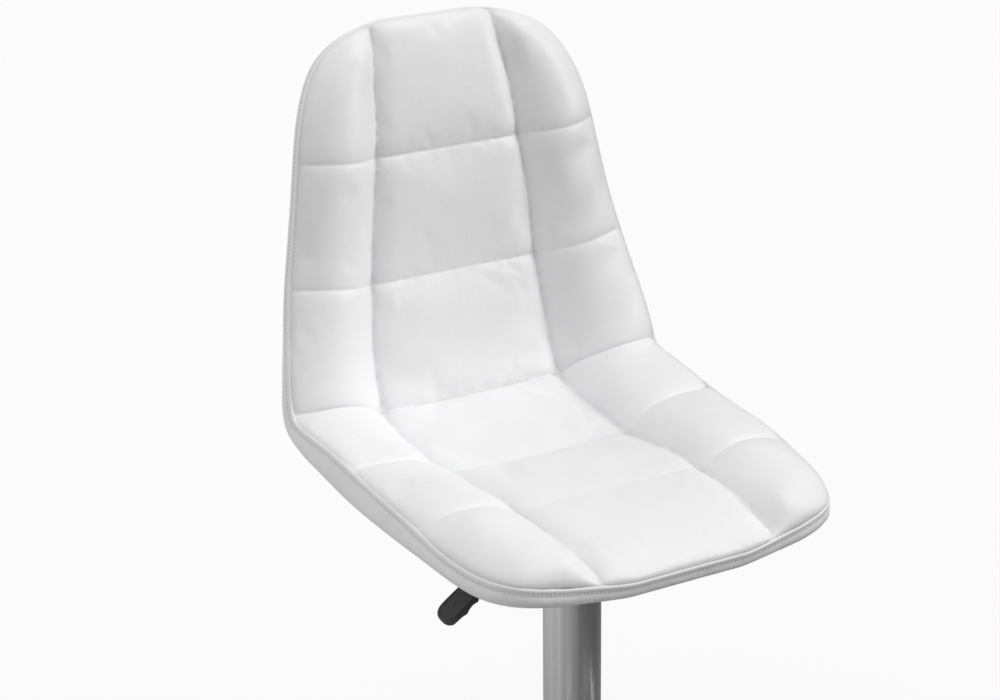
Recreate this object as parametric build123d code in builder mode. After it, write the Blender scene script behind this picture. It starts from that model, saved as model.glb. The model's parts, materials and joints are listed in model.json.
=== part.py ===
from build123d import *

import os
from dataclasses import dataclass, replace
from math import cos, pi, radians, sin

os.makedirs("parts", exist_ok=True)

# Adjustable swivel stool: a quilted bucket seat on a gas-lift column with a round base.
# Origin: centre of the base on the floor. +Z up, the sitter faces -Y, the lift lever is on the -X side.
# All sizes are in millimetres, with the lift fully down and the lever released.

# ------------------------------------------------------------------ driving dimensions

# Clearances
RUN = 0.08  # radial play of a sliding or turning fit
FIT = 0.03  # radial play of a fixed fit
GAP = 0.3  # between layers and between bodies that only lie near each other
EDGE_BREAK = 1.0  # chamfer on cut and turned edges

# Base
BASE_RADIUS = 205.0
BASE_SHEET = 1.5
BASE_RIM_HEIGHT = 15.5
BASE_SHOULDER_RADIUS = 90.0  # where the gentle dome turns up into the neck
BASE_SHOULDER_HEIGHT = 28.0
BASE_NECK_HEIGHT = 44.0
BASE_NECK_LENGTH = 6.0
BASE_FLOOR_GAP = 1.0
BASE_EDGE_RADIUS = 6.0
BASE_SHOULDER_BEND = 60.0
BASE_NECK_BEND = 4.0
BALLAST_THICKNESS = 10.0
BALLAST_MARGIN = 5.0  # ballast edge to cover
FLOOR_PAD_THICKNESS = 4.0
FLANGE_RADIUS = 60.0
FLANGE_THICKNESS = 8.0
BOLT_CIRCLE_RADIUS = 46.0
BOLT_RADIUS = 4.0
BOLT_HEAD_RADIUS = 6.5
BOLT_HEAD_HEIGHT = 4.0
BOLT_HEAD_PLAY = 1.5
BOLT_RECESS = 0.5  # bolt ends and heads below the faces round them
BOLT_SOCKET_DEPTH = 2.5
BOLT_SOCKET_RADIUS = 3.0
WASHER_THICKNESS = 1.2
COLLAR_HEIGHT = 16.0
COLLAR_WALL = 3.0
COLLAR_ROUNDING = 3.0

# Column and telescoping sleeve
COLUMN_RADIUS = 30.0
COLUMN_WALL = 2.0
COLUMN_TOP_DROP = 112.0  # seat level to the column's top edge
BUSH_LENGTH = 50.0
BUSH_LIP = 3.0
BUSH_ROUNDING = 1.5
SLEEVE_RADIUS = 25.0
SLEEVE_WALL = 1.5
SLEEVE_CAP_THICKNESS = 6.0
GLIDE_LENGTH = 30.0
GLIDE_SPARE = 20.0  # glide to bush with the lift fully up

# Gas spring
LIFT_TRAVEL = 210.0
TUBE_RADIUS = 14.0
TUBE_WALL = 1.5
TAPER_DROP = 0.8  # loss of radius over the tapered end
TUBE_STAND = 2.0  # tube end above the hub
ROD_RADIUS = 5.0
ROD_STEP = 1.0  # loss of radius inside the piston
ROD_END_LENGTH = 6.0  # rod below the clip
PISTON_LENGTH = 12.0
PISTON_SPARE = 5.0  # piston to gland with the lift fully up
SEAL_LENGTH = 5.0
GLAND_LENGTH = 20.0
GLAND_RECESS = 1.0
FOOT_PLATE_TOP = 62.0
FOOT_PLATE_THICKNESS = 6.0
RACE_THICKNESS = 2.0
RACE_RADIUS = 12.0
BALL_RADIUS = 2.0
BALL_CIRCLE_RADIUS = 9.0
BALL_COUNT = 10
CAGE_THICKNESS = 1.6
CAGE_MARGIN = 2.6  # ball circle to the cage's edges
BUMPER_HEIGHT = 18.0
BUMPER_RADIUS = 13.0
BUMPER_ROUNDING = 3.0
CLIP_THICKNESS = 2.0
CLIP_RADIUS = 9.0
VALVE_BODY_LENGTH = 22.0
VALVE_PIN_RADIUS = 3.5
VALVE_PIN_LENGTH = 16.0
VALVE_PIN_ROUNDING = 2.5

# Footrest
FOOTREST_HEIGHT = 285.0
FOOTREST_TUBE_RADIUS = 11.0
FOOTREST_HALF_WIDTH = 150.0
FOOTREST_REACH = 225.0
FOOTREST_ARM_REACH = 95.0
FOOTREST_BEND_RADIUS = 45.0
FOOTREST_COLLAR_HEIGHT = 40.0
FOOTREST_COLLAR_WALL = 6.0
FOOTREST_SINK = 3.0  # how far inside the column's radius the bow's ends aim
GRUB_RADIUS = 3.0
GRUB_STAND = 0.6  # screw end beyond the collar's wall
GRUB_SOCKET_DEPTH = 2.0
GRUB_SOCKET_RADIUS = 1.6

# Seat plate and lift mechanism
SEAT_LEVEL = 610.0  # floor to the stitching level in the middle of the seat
UNDERSIDE_DEPTH = 38.0  # seat level to the flat middle of the underside
PLATE_WIDTH = 160.0
PLATE_LENGTH = 200.0
PLATE_THICKNESS = 3.0
PLATE_CORNER_RADIUS = 12.0
SCREW_SPACING_X = 120.0
SCREW_SPACING_Y = 160.0
SCREW_RADIUS = 3.0
SCREW_HEAD_RADIUS = 6.0
SCREW_HEAD_HEIGHT = 3.5
SCREW_ENGAGEMENT = 14.0
SCREW_WASHER_MARGIN = 1.5
SCREW_SOCKET_DEPTH = 2.0
SCREW_SOCKET_RADIUS = 2.2
TEE_NUT_FLANGE_RADIUS = 9.0
TEE_NUT_THICKNESS = 1.5
TEE_NUT_WALL = 1.0
NUT_POCKET_SPARE = 3.0  # free height over the longest screw
HOUSING_LENGTH = 96.0
HOUSING_WIDTH = 64.0
HOUSING_HEIGHT = 30.0
HOUSING_SHEET = 2.5
HOUSING_CORNER_RADIUS = 10.0
HUB_RADIUS = 19.0
HUB_LENGTH = 34.0
HUB_STAND = 3.0  # hub above the housing's floor

# Lever
LEVER_HEADING = 8.0  # degrees that the lever points forward of the seat's side
LEVER_DROOP = 31.0  # degrees that its handle points down
LEVER_ROD_RADIUS = 4.5
LEVER_ROD_DEPTH = 54.0  # seat level to the rod's centre line
LEVER_BEND_REACH = 80.0
LEVER_BEND_RADIUS = 22.0
LEVER_PIVOT_REACH = 22.0
LEVER_NOSE = 6.0  # rod length past the column's axis
LEVER_SLOT_PLAY = 2.5  # rod to the slot in the housing's wall
PIVOT_RADIUS = 3.0
PIVOT_STAND = 1.5  # pin end beyond the fork
EYE_WIDTH = 12.0
EYE_LENGTH = 16.0
EYE_HEIGHT = 12.0
EYE_CORNER_RADIUS = 3.0
FORK_THICKNESS = 3.0
FORK_LENGTH = 16.0
FORK_PLAY = 0.5  # eye to each cheek
FORK_DROP = 4.0  # cheek under the pin
FORK_OFFSET = 5.0  # cheek's middle nearer the column than the pin
GRIP_ROOT_REACH = 97.0  # from the column's axis, along the rod
GRIP_LENGTH = 85.0
GRIP_WIDTH = 26.0
GRIP_ROOT_WIDTH = 17.0
GRIP_THICKNESS = 12.0
GRIP_ROUNDING = 2.0
GRIP_SOCKET_DEPTH = 34.0
GRIP_SOCKET_SPARE = 1.0
GRIP_NOTCH_RADIUS = 5.0
GRIP_NOTCH_DROP = 2.4  # notch centres under the paddle's lower face
GRIP_NOTCHES = 4

# Bucket seat
SEAT_WIDTH = 442.0
SEAT_DEPTH = 424.0  # front edge to the crease, with the column's axis at its middle
BACK_HEIGHT = 424.0  # top edge above the seat level
SKIN = 1.5  # upholstery leather
SHELL = 8.0  # moulded seat shell
LIFT_POWER = 2.6  # how late the bucket's sides turn up
DEPTH_POWER = 4.0  # how late its thickness changes towards the edge
SECTION_SIDES = [-1.0, -0.75, -0.4, 0.0, 0.4, 0.75, 1.0]  # shares of the half width, across a section

# ------------------------------------------------------------------ derived places

underside = SEAT_LEVEL - UNDERSIDE_DEPTH
plate_top = underside - GAP
plate_bottom = plate_top - PLATE_THICKNESS
housing_bottom = plate_bottom - HOUSING_HEIGHT
hub_top = housing_bottom + HOUSING_SHEET + HUB_STAND
hub_bottom = hub_top - HUB_LENGTH
tube_top = hub_top + TUBE_STAND
sleeve_top = hub_bottom - GAP

column_top = SEAT_LEVEL - COLUMN_TOP_DROP
column_bore = COLUMN_RADIUS - COLUMN_WALL
bush_bottom = column_top - BUSH_LENGTH
sleeve_bottom = bush_bottom - LIFT_TRAVEL - GLIDE_LENGTH - GLIDE_SPARE
sleeve_bore = SLEEVE_RADIUS - SLEEVE_WALL

ballast_bottom = FLOOR_PAD_THICKNESS
ballast_top = ballast_bottom + BALLAST_THICKNESS
ballast_radius = BASE_RADIUS - BASE_SHEET - BALLAST_MARGIN
flange_top = ballast_top + FLANGE_THICKNESS
counterbore_depth = BOLT_HEAD_HEIGHT + WASHER_THICKNESS + BOLT_RECESS
counterbore_top = ballast_bottom + counterbore_depth

ball_centre = FOOT_PLATE_TOP + RACE_THICKNESS + BALL_RADIUS + RUN
upper_race_bottom = ball_centre + BALL_RADIUS + RUN
bumper_bottom = upper_race_bottom + RACE_THICKNESS
bumper_top = bumper_bottom + BUMPER_HEIGHT
tube_bottom = bumper_top + GAP
tube_bore = TUBE_RADIUS - TUBE_WALL
gland_top = tube_bottom + GLAND_LENGTH
piston_bottom = gland_top + LIFT_TRAVEL + PISTON_SPARE
piston_top = piston_bottom + PISTON_LENGTH + SEAL_LENGTH
rod_seat_radius = ROD_RADIUS - ROD_STEP
rod_bottom = FOOT_PLATE_TOP - FOOT_PLATE_THICKNESS - CLIP_THICKNESS - ROD_END_LENGTH
clip_top = FOOT_PLATE_TOP - FOOT_PLATE_THICKNESS - RUN

lever_axis_height = SEAT_LEVEL - LEVER_ROD_DEPTH
lever_nose_bottom = lever_axis_height - LEVER_ROD_RADIUS
valve_pin_top = lever_nose_bottom - GAP

# The lever's own upright plane, turned from straight sideways towards the front:
# local x runs outwards along the lever, local y is up.
lever_out = Vector(-cos(radians(LEVER_HEADING)), -sin(radians(LEVER_HEADING)), 0)
lever_plane = Plane(origin=(0, 0, 0), x_dir=lever_out, z_dir=lever_out.cross(Vector(0, 0, 1)))
# The same heading seen from above, for pieces that are extruded upwards.
lever_plan = Plane(origin=(0, 0, 0), x_dir=lever_out, z_dir=(0, 0, 1))
droop = radians(LEVER_DROOP)
grip_root = Vector(
    LEVER_BEND_REACH + (GRIP_ROOT_REACH - LEVER_BEND_REACH) * cos(droop),
    lever_axis_height - (GRIP_ROOT_REACH - LEVER_BEND_REACH) * sin(droop),
    0,
)


# ------------------------------------------------------------------ helpers


def extrude_ring(bottom, top, outer, inner=0.0, spots=((0, 0),)):
    """Add an upright cylinder, or a tube when it has an inner radius, to the part at each spot."""
    with BuildSketch(Plane.XY.offset(bottom)) as profile:
        with Locations(*spots):
            Circle(outer)
            if inner > 0:
                Circle(inner, mode=Mode.SUBTRACT)
    extrude(profile.sketch, amount=top - bottom)


def drill(bottom, top, radius, spots=((0, 0),)):
    """Cut an upright round hole out of the part at each spot."""
    with BuildSketch(Plane.XY.offset(bottom)) as profile:
        with Locations(*spots):
            Circle(radius)
    extrude(profile.sketch, amount=top - bottom, mode=Mode.SUBTRACT)


def drill_hexagons(bottom, depth, radius, spots):
    """Cut an upright hexagon socket into the underside of a screw at each spot."""
    with BuildSketch(Plane.XY.offset(bottom)) as profile:
        with Locations(*spots):
            RegularPolygon(radius, 6)
    extrude(profile.sketch, amount=depth, mode=Mode.SUBTRACT)


def circle_spots(radius, count):
    """Evenly spaced centres on a circle round the column's axis."""
    angles = [2 * pi * index / count for index in range(count)]
    return [(radius * cos(angle), radius * sin(angle)) for angle in angles]


bolt_spots = circle_spots(BOLT_CIRCLE_RADIUS, 4)
ball_spots = circle_spots(BALL_CIRCLE_RADIUS, BALL_COUNT)
screw_spots = [(x * SCREW_SPACING_X / 2, y * SCREW_SPACING_Y / 2) for x in (-1, 1) for y in (-1, 1)]


def finish(builder, name):
    """Label a finished piece and write it to its own file."""
    builder.part.label = name
    export_step(builder.part, f"parts/{name}.step")


# ------------------------------------------------------------------ base

with BuildPart() as floor_pad:
    extrude_ring(0, FLOOR_PAD_THICKNESS - FIT, ballast_radius)
    chamfer(floor_pad.edges().filter_by(GeomType.CIRCLE).group_by(Axis.Z)[0], EDGE_BREAK)
finish(floor_pad, "floor_pad")

with BuildPart() as ballast_plate:
    extrude_ring(ballast_bottom, ballast_top, ballast_radius)
    drill(ballast_bottom, ballast_top, BOLT_RADIUS + GAP, bolt_spots)
    drill(ballast_bottom, counterbore_top, BOLT_HEAD_RADIUS + BOLT_HEAD_PLAY, bolt_spots)
    drill(ballast_bottom, ballast_top, COLUMN_RADIUS / 2)
    chamfer(ballast_plate.edges().filter_by(GeomType.CIRCLE).group_by(SortBy.RADIUS)[-1], EDGE_BREAK)
finish(ballast_plate, "ballast_plate")

with BuildPart() as base_cover:
    with BuildSketch(Plane.XZ):
        with BuildLine():
            FilletPolyline(
                (BASE_RADIUS - BASE_SHEET / 2, BASE_FLOOR_GAP),
                (BASE_RADIUS - BASE_SHEET / 2, BASE_RIM_HEIGHT),
                (BASE_SHOULDER_RADIUS, BASE_SHOULDER_HEIGHT),
                (COLUMN_RADIUS + BASE_SHEET, BASE_NECK_HEIGHT - BASE_NECK_LENGTH),
                (COLUMN_RADIUS + BASE_SHEET, BASE_NECK_HEIGHT),
                radius=[BASE_EDGE_RADIUS, BASE_SHOULDER_BEND, BASE_NECK_BEND],
            )
        trace(line_width=BASE_SHEET)
    revolve(axis=Axis.Z)
finish(base_cover, "base_cover")

with BuildPart() as column_flange:
    extrude_ring(ballast_top, flange_top, FLANGE_RADIUS, COLUMN_RADIUS + FIT)
    drill(ballast_top, flange_top, BOLT_RADIUS + FIT, bolt_spots)
finish(column_flange, "column_flange")

with BuildPart() as base_washers:
    bolt_washer_bottom = counterbore_top - WASHER_THICKNESS
    extrude_ring(bolt_washer_bottom, counterbore_top, BOLT_HEAD_RADIUS, BOLT_RADIUS + FIT, bolt_spots)
finish(base_washers, "base_washers")

with BuildPart() as base_bolts:
    bolt_head_bottom = bolt_washer_bottom - BOLT_HEAD_HEIGHT
    extrude_ring(bolt_head_bottom, bolt_washer_bottom, BOLT_HEAD_RADIUS, spots=bolt_spots)
    extrude_ring(bolt_washer_bottom, flange_top - BOLT_RECESS, BOLT_RADIUS, spots=bolt_spots)
    drill_hexagons(bolt_head_bottom, BOLT_SOCKET_DEPTH, BOLT_SOCKET_RADIUS, bolt_spots)
finish(base_bolts, "base_bolts")

with BuildPart() as base_collar:
    collar_inner = COLUMN_RADIUS + FIT
    collar_outer = COLUMN_RADIUS + BASE_SHEET * 1.5 + COLLAR_WALL
    extrude_ring(BASE_NECK_HEIGHT + FIT, BASE_NECK_HEIGHT + COLLAR_HEIGHT, collar_outer, collar_inner)
    top_rim = base_collar.edges().filter_by(GeomType.CIRCLE).group_by(Axis.Z)[-1]
    fillet(top_rim.sort_by(SortBy.RADIUS)[-1], COLLAR_ROUNDING)
finish(base_collar, "base_collar")

# ------------------------------------------------------------------ column and lift

with BuildPart() as column_tube:
    extrude_ring(ballast_top, column_top, COLUMN_RADIUS, column_bore)
finish(column_tube, "column_tube")

with BuildPart() as foot_plate:
    extrude_ring(FOOT_PLATE_TOP - FOOT_PLATE_THICKNESS, FOOT_PLATE_TOP, column_bore - FIT, ROD_RADIUS + RUN)
finish(foot_plate, "foot_plate")

with BuildPart() as guide_bush:
    extrude_ring(bush_bottom, column_top + BUSH_LIP, column_bore - FIT, SLEEVE_RADIUS + RUN)
    extrude_ring(column_top + FIT, column_top + BUSH_LIP, COLUMN_RADIUS, SLEEVE_RADIUS + RUN)
    lip_edges = guide_bush.edges().filter_by(GeomType.CIRCLE).group_by(Axis.Z)[-1]
    fillet(lip_edges.sort_by(SortBy.RADIUS)[-1], BUSH_ROUNDING)
finish(guide_bush, "guide_bush")

with BuildPart() as lower_race:
    extrude_ring(FOOT_PLATE_TOP + FIT, FOOT_PLATE_TOP + RACE_THICKNESS, RACE_RADIUS, ROD_RADIUS + RUN)
finish(lower_race, "lower_race")

with BuildPart() as ball_cage:
    cage_bottom, cage_top = ball_centre - CAGE_THICKNESS / 2, ball_centre + CAGE_THICKNESS / 2
    extrude_ring(cage_bottom, cage_top, BALL_CIRCLE_RADIUS + CAGE_MARGIN, BALL_CIRCLE_RADIUS - CAGE_MARGIN)
    drill(cage_bottom, cage_top, BALL_RADIUS + FIT, ball_spots)
finish(ball_cage, "ball_cage")

with BuildPart(Plane.XY.offset(ball_centre)) as bearing_balls:
    with PolarLocations(BALL_CIRCLE_RADIUS, BALL_COUNT):
        Sphere(BALL_RADIUS)
finish(bearing_balls, "bearing_balls")

with BuildPart() as upper_race:
    extrude_ring(upper_race_bottom, upper_race_bottom + RACE_THICKNESS - FIT, RACE_RADIUS, ROD_RADIUS + FIT)
finish(upper_race, "upper_race")

with BuildPart() as bump_stop:
    extrude_ring(bumper_bottom, bumper_top, BUMPER_RADIUS, ROD_RADIUS + FIT)
    bumper_rims = bump_stop.edges().filter_by(GeomType.CIRCLE).group_by(SortBy.RADIUS)[-1]
    fillet(bumper_rims, BUMPER_ROUNDING)
finish(bump_stop, "bump_stop")

with BuildPart() as retaining_clip:
    extrude_ring(clip_top - CLIP_THICKNESS, clip_top, CLIP_RADIUS, ROD_RADIUS + FIT)
finish(retaining_clip, "retaining_clip")

with BuildPart() as piston_rod:
    extrude_ring(rod_bottom, piston_bottom, ROD_RADIUS)
    extrude_ring(piston_bottom, piston_top, rod_seat_radius)
    chamfer(piston_rod.edges().filter_by(GeomType.CIRCLE).group_by(Axis.Z)[0], EDGE_BREAK)
finish(piston_rod, "piston_rod")

with BuildPart() as piston:
    extrude_ring(piston_bottom + FIT, piston_bottom + PISTON_LENGTH, tube_bore - RUN, rod_seat_radius + FIT)
finish(piston, "piston")

with BuildPart() as piston_seal:
    extrude_ring(piston_bottom + PISTON_LENGTH + FIT, piston_top, tube_bore - RUN, rod_seat_radius + FIT)
finish(piston_seal, "piston_seal")

with BuildPart() as rod_gland:
    extrude_ring(tube_bottom + GLAND_RECESS, gland_top, tube_bore - FIT, ROD_RADIUS + RUN)
finish(rod_gland, "rod_gland")

with BuildPart() as pressure_tube:
    with BuildSketch(Plane.XZ):
        with BuildLine():
            Polyline(
                (tube_bore, tube_bottom),
                (TUBE_RADIUS, tube_bottom),
                (TUBE_RADIUS, hub_bottom),
                (TUBE_RADIUS - TAPER_DROP, tube_top),
                (tube_bore, tube_top),
                close=True,
            )
        make_face()
    revolve(axis=Axis.Z)
finish(pressure_tube, "pressure_tube")

with BuildPart() as valve_body:
    valve_bottom = tube_top - VALVE_BODY_LENGTH
    extrude_ring(valve_bottom, tube_top, tube_bore - FIT, VALVE_PIN_RADIUS + RUN)
finish(valve_body, "valve_body")

with BuildPart() as valve_pin:
    extrude_ring(valve_pin_top - VALVE_PIN_LENGTH, valve_pin_top, VALVE_PIN_RADIUS)
    fillet(valve_pin.edges().filter_by(GeomType.CIRCLE).group_by(Axis.Z)[-1], VALVE_PIN_ROUNDING)
finish(valve_pin, "valve_pin")

with BuildPart() as inner_sleeve:
    extrude_ring(sleeve_bottom, sleeve_top, SLEEVE_RADIUS, sleeve_bore)
finish(inner_sleeve, "inner_sleeve")

with BuildPart() as sleeve_cap:
    extrude_ring(sleeve_top - SLEEVE_CAP_THICKNESS, sleeve_top, sleeve_bore - FIT, TUBE_RADIUS + FIT)
finish(sleeve_cap, "sleeve_cap")

with BuildPart() as lower_glide:
    extrude_ring(sleeve_bottom, sleeve_bottom + GLIDE_LENGTH, column_bore - RUN, SLEEVE_RADIUS + FIT)
finish(lower_glide, "lower_glide")

# ------------------------------------------------------------------ footrest

footrest_collar_outer = COLUMN_RADIUS + FIT + FOOTREST_COLLAR_WALL
footrest_collar_bottom = FOOTREST_HEIGHT - FOOTREST_COLLAR_HEIGHT / 2
footrest_collar_top = footrest_collar_bottom + FOOTREST_COLLAR_HEIGHT
grub_plane = Plane(origin=(0, COLUMN_RADIUS, FOOTREST_HEIGHT), x_dir=(1, 0, 0), z_dir=(0, 1, 0))
grub_length = FOOTREST_COLLAR_WALL + GRUB_STAND

with BuildPart() as footrest_collar:
    extrude_ring(footrest_collar_bottom, footrest_collar_top, footrest_collar_outer, COLUMN_RADIUS + FIT)
    rims = footrest_collar.edges().filter_by(GeomType.CIRCLE).group_by(SortBy.RADIUS)[-1]
    chamfer(rims, EDGE_BREAK)
    with BuildSketch(grub_plane):
        with GridLocations(FOOTREST_COLLAR_HEIGHT / 2, FOOTREST_COLLAR_HEIGHT / 2, 1, 2):
            Circle(GRUB_RADIUS + FIT)
    extrude(amount=2 * FOOTREST_COLLAR_WALL, mode=Mode.SUBTRACT)
finish(footrest_collar, "footrest_collar")

with BuildPart() as footrest_screws:
    with BuildSketch(grub_plane.offset(FIT)):
        with GridLocations(FOOTREST_COLLAR_HEIGHT / 2, FOOTREST_COLLAR_HEIGHT / 2, 1, 2):
            Circle(GRUB_RADIUS)
    extrude(amount=grub_length)
    with BuildSketch(grub_plane.offset(grub_length - GRUB_SOCKET_DEPTH)):
        with GridLocations(FOOTREST_COLLAR_HEIGHT / 2, FOOTREST_COLLAR_HEIGHT / 2, 1, 2):
            RegularPolygon(GRUB_SOCKET_RADIUS, 6)
    extrude(amount=2 * GRUB_SOCKET_DEPTH, mode=Mode.SUBTRACT)
finish(footrest_screws, "footrest_screws")

with BuildPart() as footrest_bow:
    bow_end = COLUMN_RADIUS - FOOTREST_SINK
    with BuildLine(Plane.XY.offset(FOOTREST_HEIGHT)) as bow_line:
        FilletPolyline(
            (-bow_end, FOOTREST_SINK - COLUMN_RADIUS / 2),
            (-FOOTREST_HALF_WIDTH, -FOOTREST_ARM_REACH),
            (-FOOTREST_HALF_WIDTH, -FOOTREST_REACH),
            (FOOTREST_HALF_WIDTH, -FOOTREST_REACH),
            (FOOTREST_HALF_WIDTH, -FOOTREST_ARM_REACH),
            (bow_end, FOOTREST_SINK - COLUMN_RADIUS / 2),
            radius=FOOTREST_BEND_RADIUS,
        )
    with BuildSketch(Plane(origin=bow_line.line @ 0, z_dir=bow_line.line % 0)):
        Circle(FOOTREST_TUBE_RADIUS)
    sweep(path=bow_line.line)
    drill(footrest_collar_bottom, footrest_collar_top, footrest_collar_outer + FIT)
finish(footrest_bow, "footrest_bow")

# ------------------------------------------------------------------ seat plate and mechanism

with BuildPart() as mounting_plate:
    with BuildSketch(Plane.XY.offset(plate_bottom)):
        RectangleRounded(PLATE_WIDTH, PLATE_LENGTH, PLATE_CORNER_RADIUS)
        with GridLocations(SCREW_SPACING_X, SCREW_SPACING_Y, 2, 2):
            Circle(SCREW_RADIUS + GAP, mode=Mode.SUBTRACT)
    extrude(amount=PLATE_THICKNESS)
finish(mounting_plate, "mounting_plate")

with BuildPart() as mechanism_housing:
    with BuildSketch(lever_plan.offset(housing_bottom)):
        RectangleRounded(HOUSING_WIDTH, HOUSING_LENGTH, HOUSING_CORNER_RADIUS)
    extrude(amount=HOUSING_HEIGHT - FIT)
    with BuildSketch(lever_plan.offset(housing_bottom + HOUSING_SHEET)):
        RectangleRounded(
            HOUSING_WIDTH - 2 * HOUSING_SHEET,
            HOUSING_LENGTH - 2 * HOUSING_SHEET,
            HOUSING_CORNER_RADIUS - HOUSING_SHEET,
        )
    extrude(amount=HOUSING_HEIGHT, mode=Mode.SUBTRACT)
    drill(housing_bottom, housing_bottom + HOUSING_SHEET, HUB_RADIUS + FIT)
    with BuildSketch(lever_plan.offset(lever_nose_bottom - LEVER_SLOT_PLAY)):
        with Locations((HOUSING_WIDTH / 2, 0)):
            Rectangle(HOUSING_SHEET * 4, 2 * (LEVER_ROD_RADIUS + LEVER_SLOT_PLAY))
    extrude(amount=HOUSING_HEIGHT, mode=Mode.SUBTRACT)
finish(mechanism_housing, "mechanism_housing")

with BuildPart() as taper_hub:
    with BuildSketch(Plane.XZ):
        with BuildLine():
            Polyline(
                (TUBE_RADIUS + FIT, hub_bottom),
                (HUB_RADIUS, hub_bottom),
                (HUB_RADIUS, hub_top),
                (TUBE_RADIUS - TAPER_DROP * HUB_LENGTH / (tube_top - hub_bottom) + FIT, hub_top),
                close=True,
            )
        make_face()
    revolve(axis=Axis.Z)
finish(taper_hub, "taper_hub")

fork_inner = EYE_WIDTH / 2 + FORK_PLAY
fork_bottom = lever_axis_height - PIVOT_RADIUS - FORK_DROP
pivot_centre = lever_out * LEVER_PIVOT_REACH + Vector(0, 0, lever_axis_height)
pivot_plane = Plane(origin=pivot_centre, x_dir=lever_out, z_dir=lever_plane.z_dir)

with BuildPart() as pivot_fork:
    with BuildSketch(lever_plan.offset(fork_bottom)):
        for side in (-1, 1):
            with Locations((LEVER_PIVOT_REACH - FORK_OFFSET, side * (fork_inner + FORK_THICKNESS / 2))):
                Rectangle(FORK_LENGTH, FORK_THICKNESS)
    extrude(amount=plate_bottom - FIT - fork_bottom)
    with BuildSketch(pivot_plane):
        Circle(PIVOT_RADIUS + FIT)
    extrude(amount=4 * EYE_WIDTH, both=True, mode=Mode.SUBTRACT)
finish(pivot_fork, "pivot_fork")

with BuildPart() as pivot_pin:
    with BuildSketch(pivot_plane):
        Circle(PIVOT_RADIUS)
    extrude(amount=fork_inner + FORK_THICKNESS + PIVOT_STAND, both=True)
finish(pivot_pin, "pivot_pin")

with BuildPart() as lever_eye:
    with BuildSketch(pivot_plane):
        RectangleRounded(EYE_LENGTH, EYE_HEIGHT, EYE_CORNER_RADIUS)
        Circle(PIVOT_RADIUS + RUN, mode=Mode.SUBTRACT)
    extrude(amount=EYE_WIDTH / 2, both=True)
    with BuildSketch(Plane(origin=(0, 0, lever_axis_height), x_dir=(0, 0, 1), z_dir=lever_out)):
        Circle(LEVER_ROD_RADIUS + FIT)
    extrude(amount=2 * LEVER_BEND_REACH, both=True, mode=Mode.SUBTRACT)
finish(lever_eye, "lever_eye")

with BuildPart() as lever_rod:
    rod_end = GRIP_ROOT_REACH + GRIP_SOCKET_DEPTH - GRIP_SOCKET_SPARE - LEVER_BEND_REACH
    with BuildLine(lever_plane) as rod_line:
        FilletPolyline(
            (-LEVER_NOSE, lever_axis_height),
            (LEVER_BEND_REACH, lever_axis_height),
            (LEVER_BEND_REACH + rod_end * cos(droop), lever_axis_height - rod_end * sin(droop)),
            radius=LEVER_BEND_RADIUS,
        )
    with BuildSketch(Plane(origin=rod_line.line @ 0, z_dir=rod_line.line % 0)):
        Circle(LEVER_ROD_RADIUS)
    sweep(path=rod_line.line)
    with BuildSketch(pivot_plane):
        Circle(PIVOT_RADIUS + RUN)
    extrude(amount=EYE_WIDTH, both=True, mode=Mode.SUBTRACT)
finish(lever_rod, "lever_rod")

# The paddle's own plane: local x runs out along it, local z is its thickness, upwards.
grip_origin = lever_out * grip_root.X + Vector(0, 0, grip_root.Y)
grip_axis = lever_out * cos(droop) + Vector(0, 0, -sin(droop))
grip_up = lever_out * sin(droop) + Vector(0, 0, cos(droop))
grip_plane = Plane(origin=grip_origin, x_dir=grip_axis, z_dir=grip_up)
grip_side_plane = Plane(origin=grip_origin, x_dir=grip_axis, z_dir=grip_axis.cross(grip_up))

with BuildPart() as lever_grip:
    with BuildSketch(grip_plane.offset(-GRIP_THICKNESS / 2)):
        with BuildLine():
            widest = GRIP_LENGTH - GRIP_WIDTH / 2
            upper = Line((0, GRIP_ROOT_WIDTH / 2), (widest, GRIP_WIDTH / 2))
            tip = ThreePointArc(upper @ 1, (GRIP_LENGTH, 0), (widest, -GRIP_WIDTH / 2))
            lower = Line(tip @ 1, (0, -GRIP_ROOT_WIDTH / 2))
            Line(lower @ 1, upper @ 0)
        make_face()
    extrude(amount=GRIP_THICKNESS)
    top_face = lever_grip.faces().sort_by(Axis(grip_origin, grip_up))[-1]
    fillet(top_face.edges(), GRIP_ROUNDING)
    notch_pitch = (GRIP_LENGTH - GRIP_WIDTH) / GRIP_NOTCHES
    with BuildSketch(grip_side_plane):
        for index in range(GRIP_NOTCHES):
            with Locations((widest - index * notch_pitch, -GRIP_THICKNESS / 2 - GRIP_NOTCH_DROP)):
                Circle(GRIP_NOTCH_RADIUS)
    extrude(amount=GRIP_WIDTH, both=True, mode=Mode.SUBTRACT)
    with BuildSketch(Plane(origin=grip_origin, x_dir=grip_up, z_dir=grip_axis)):
        Circle(LEVER_ROD_RADIUS + FIT)
    extrude(amount=GRIP_SOCKET_DEPTH, mode=Mode.SUBTRACT)
finish(lever_grip, "lever_grip")

# ------------------------------------------------------------------ bucket seat


@dataclass
class Station:
    """One cross-section of the bucket: a place on its middle line, and the shape across it.

    The middle line runs from the front edge, back over the seat and up the backrest, on the side that is
    sat on. Lift is how far the edges turn towards the sitter. The depths are the upholstery's whole
    thickness in the middle and at the edge.
    """

    y: float
    z: float
    half_width: float
    lift: float
    middle_depth: float
    edge_depth: float


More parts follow.
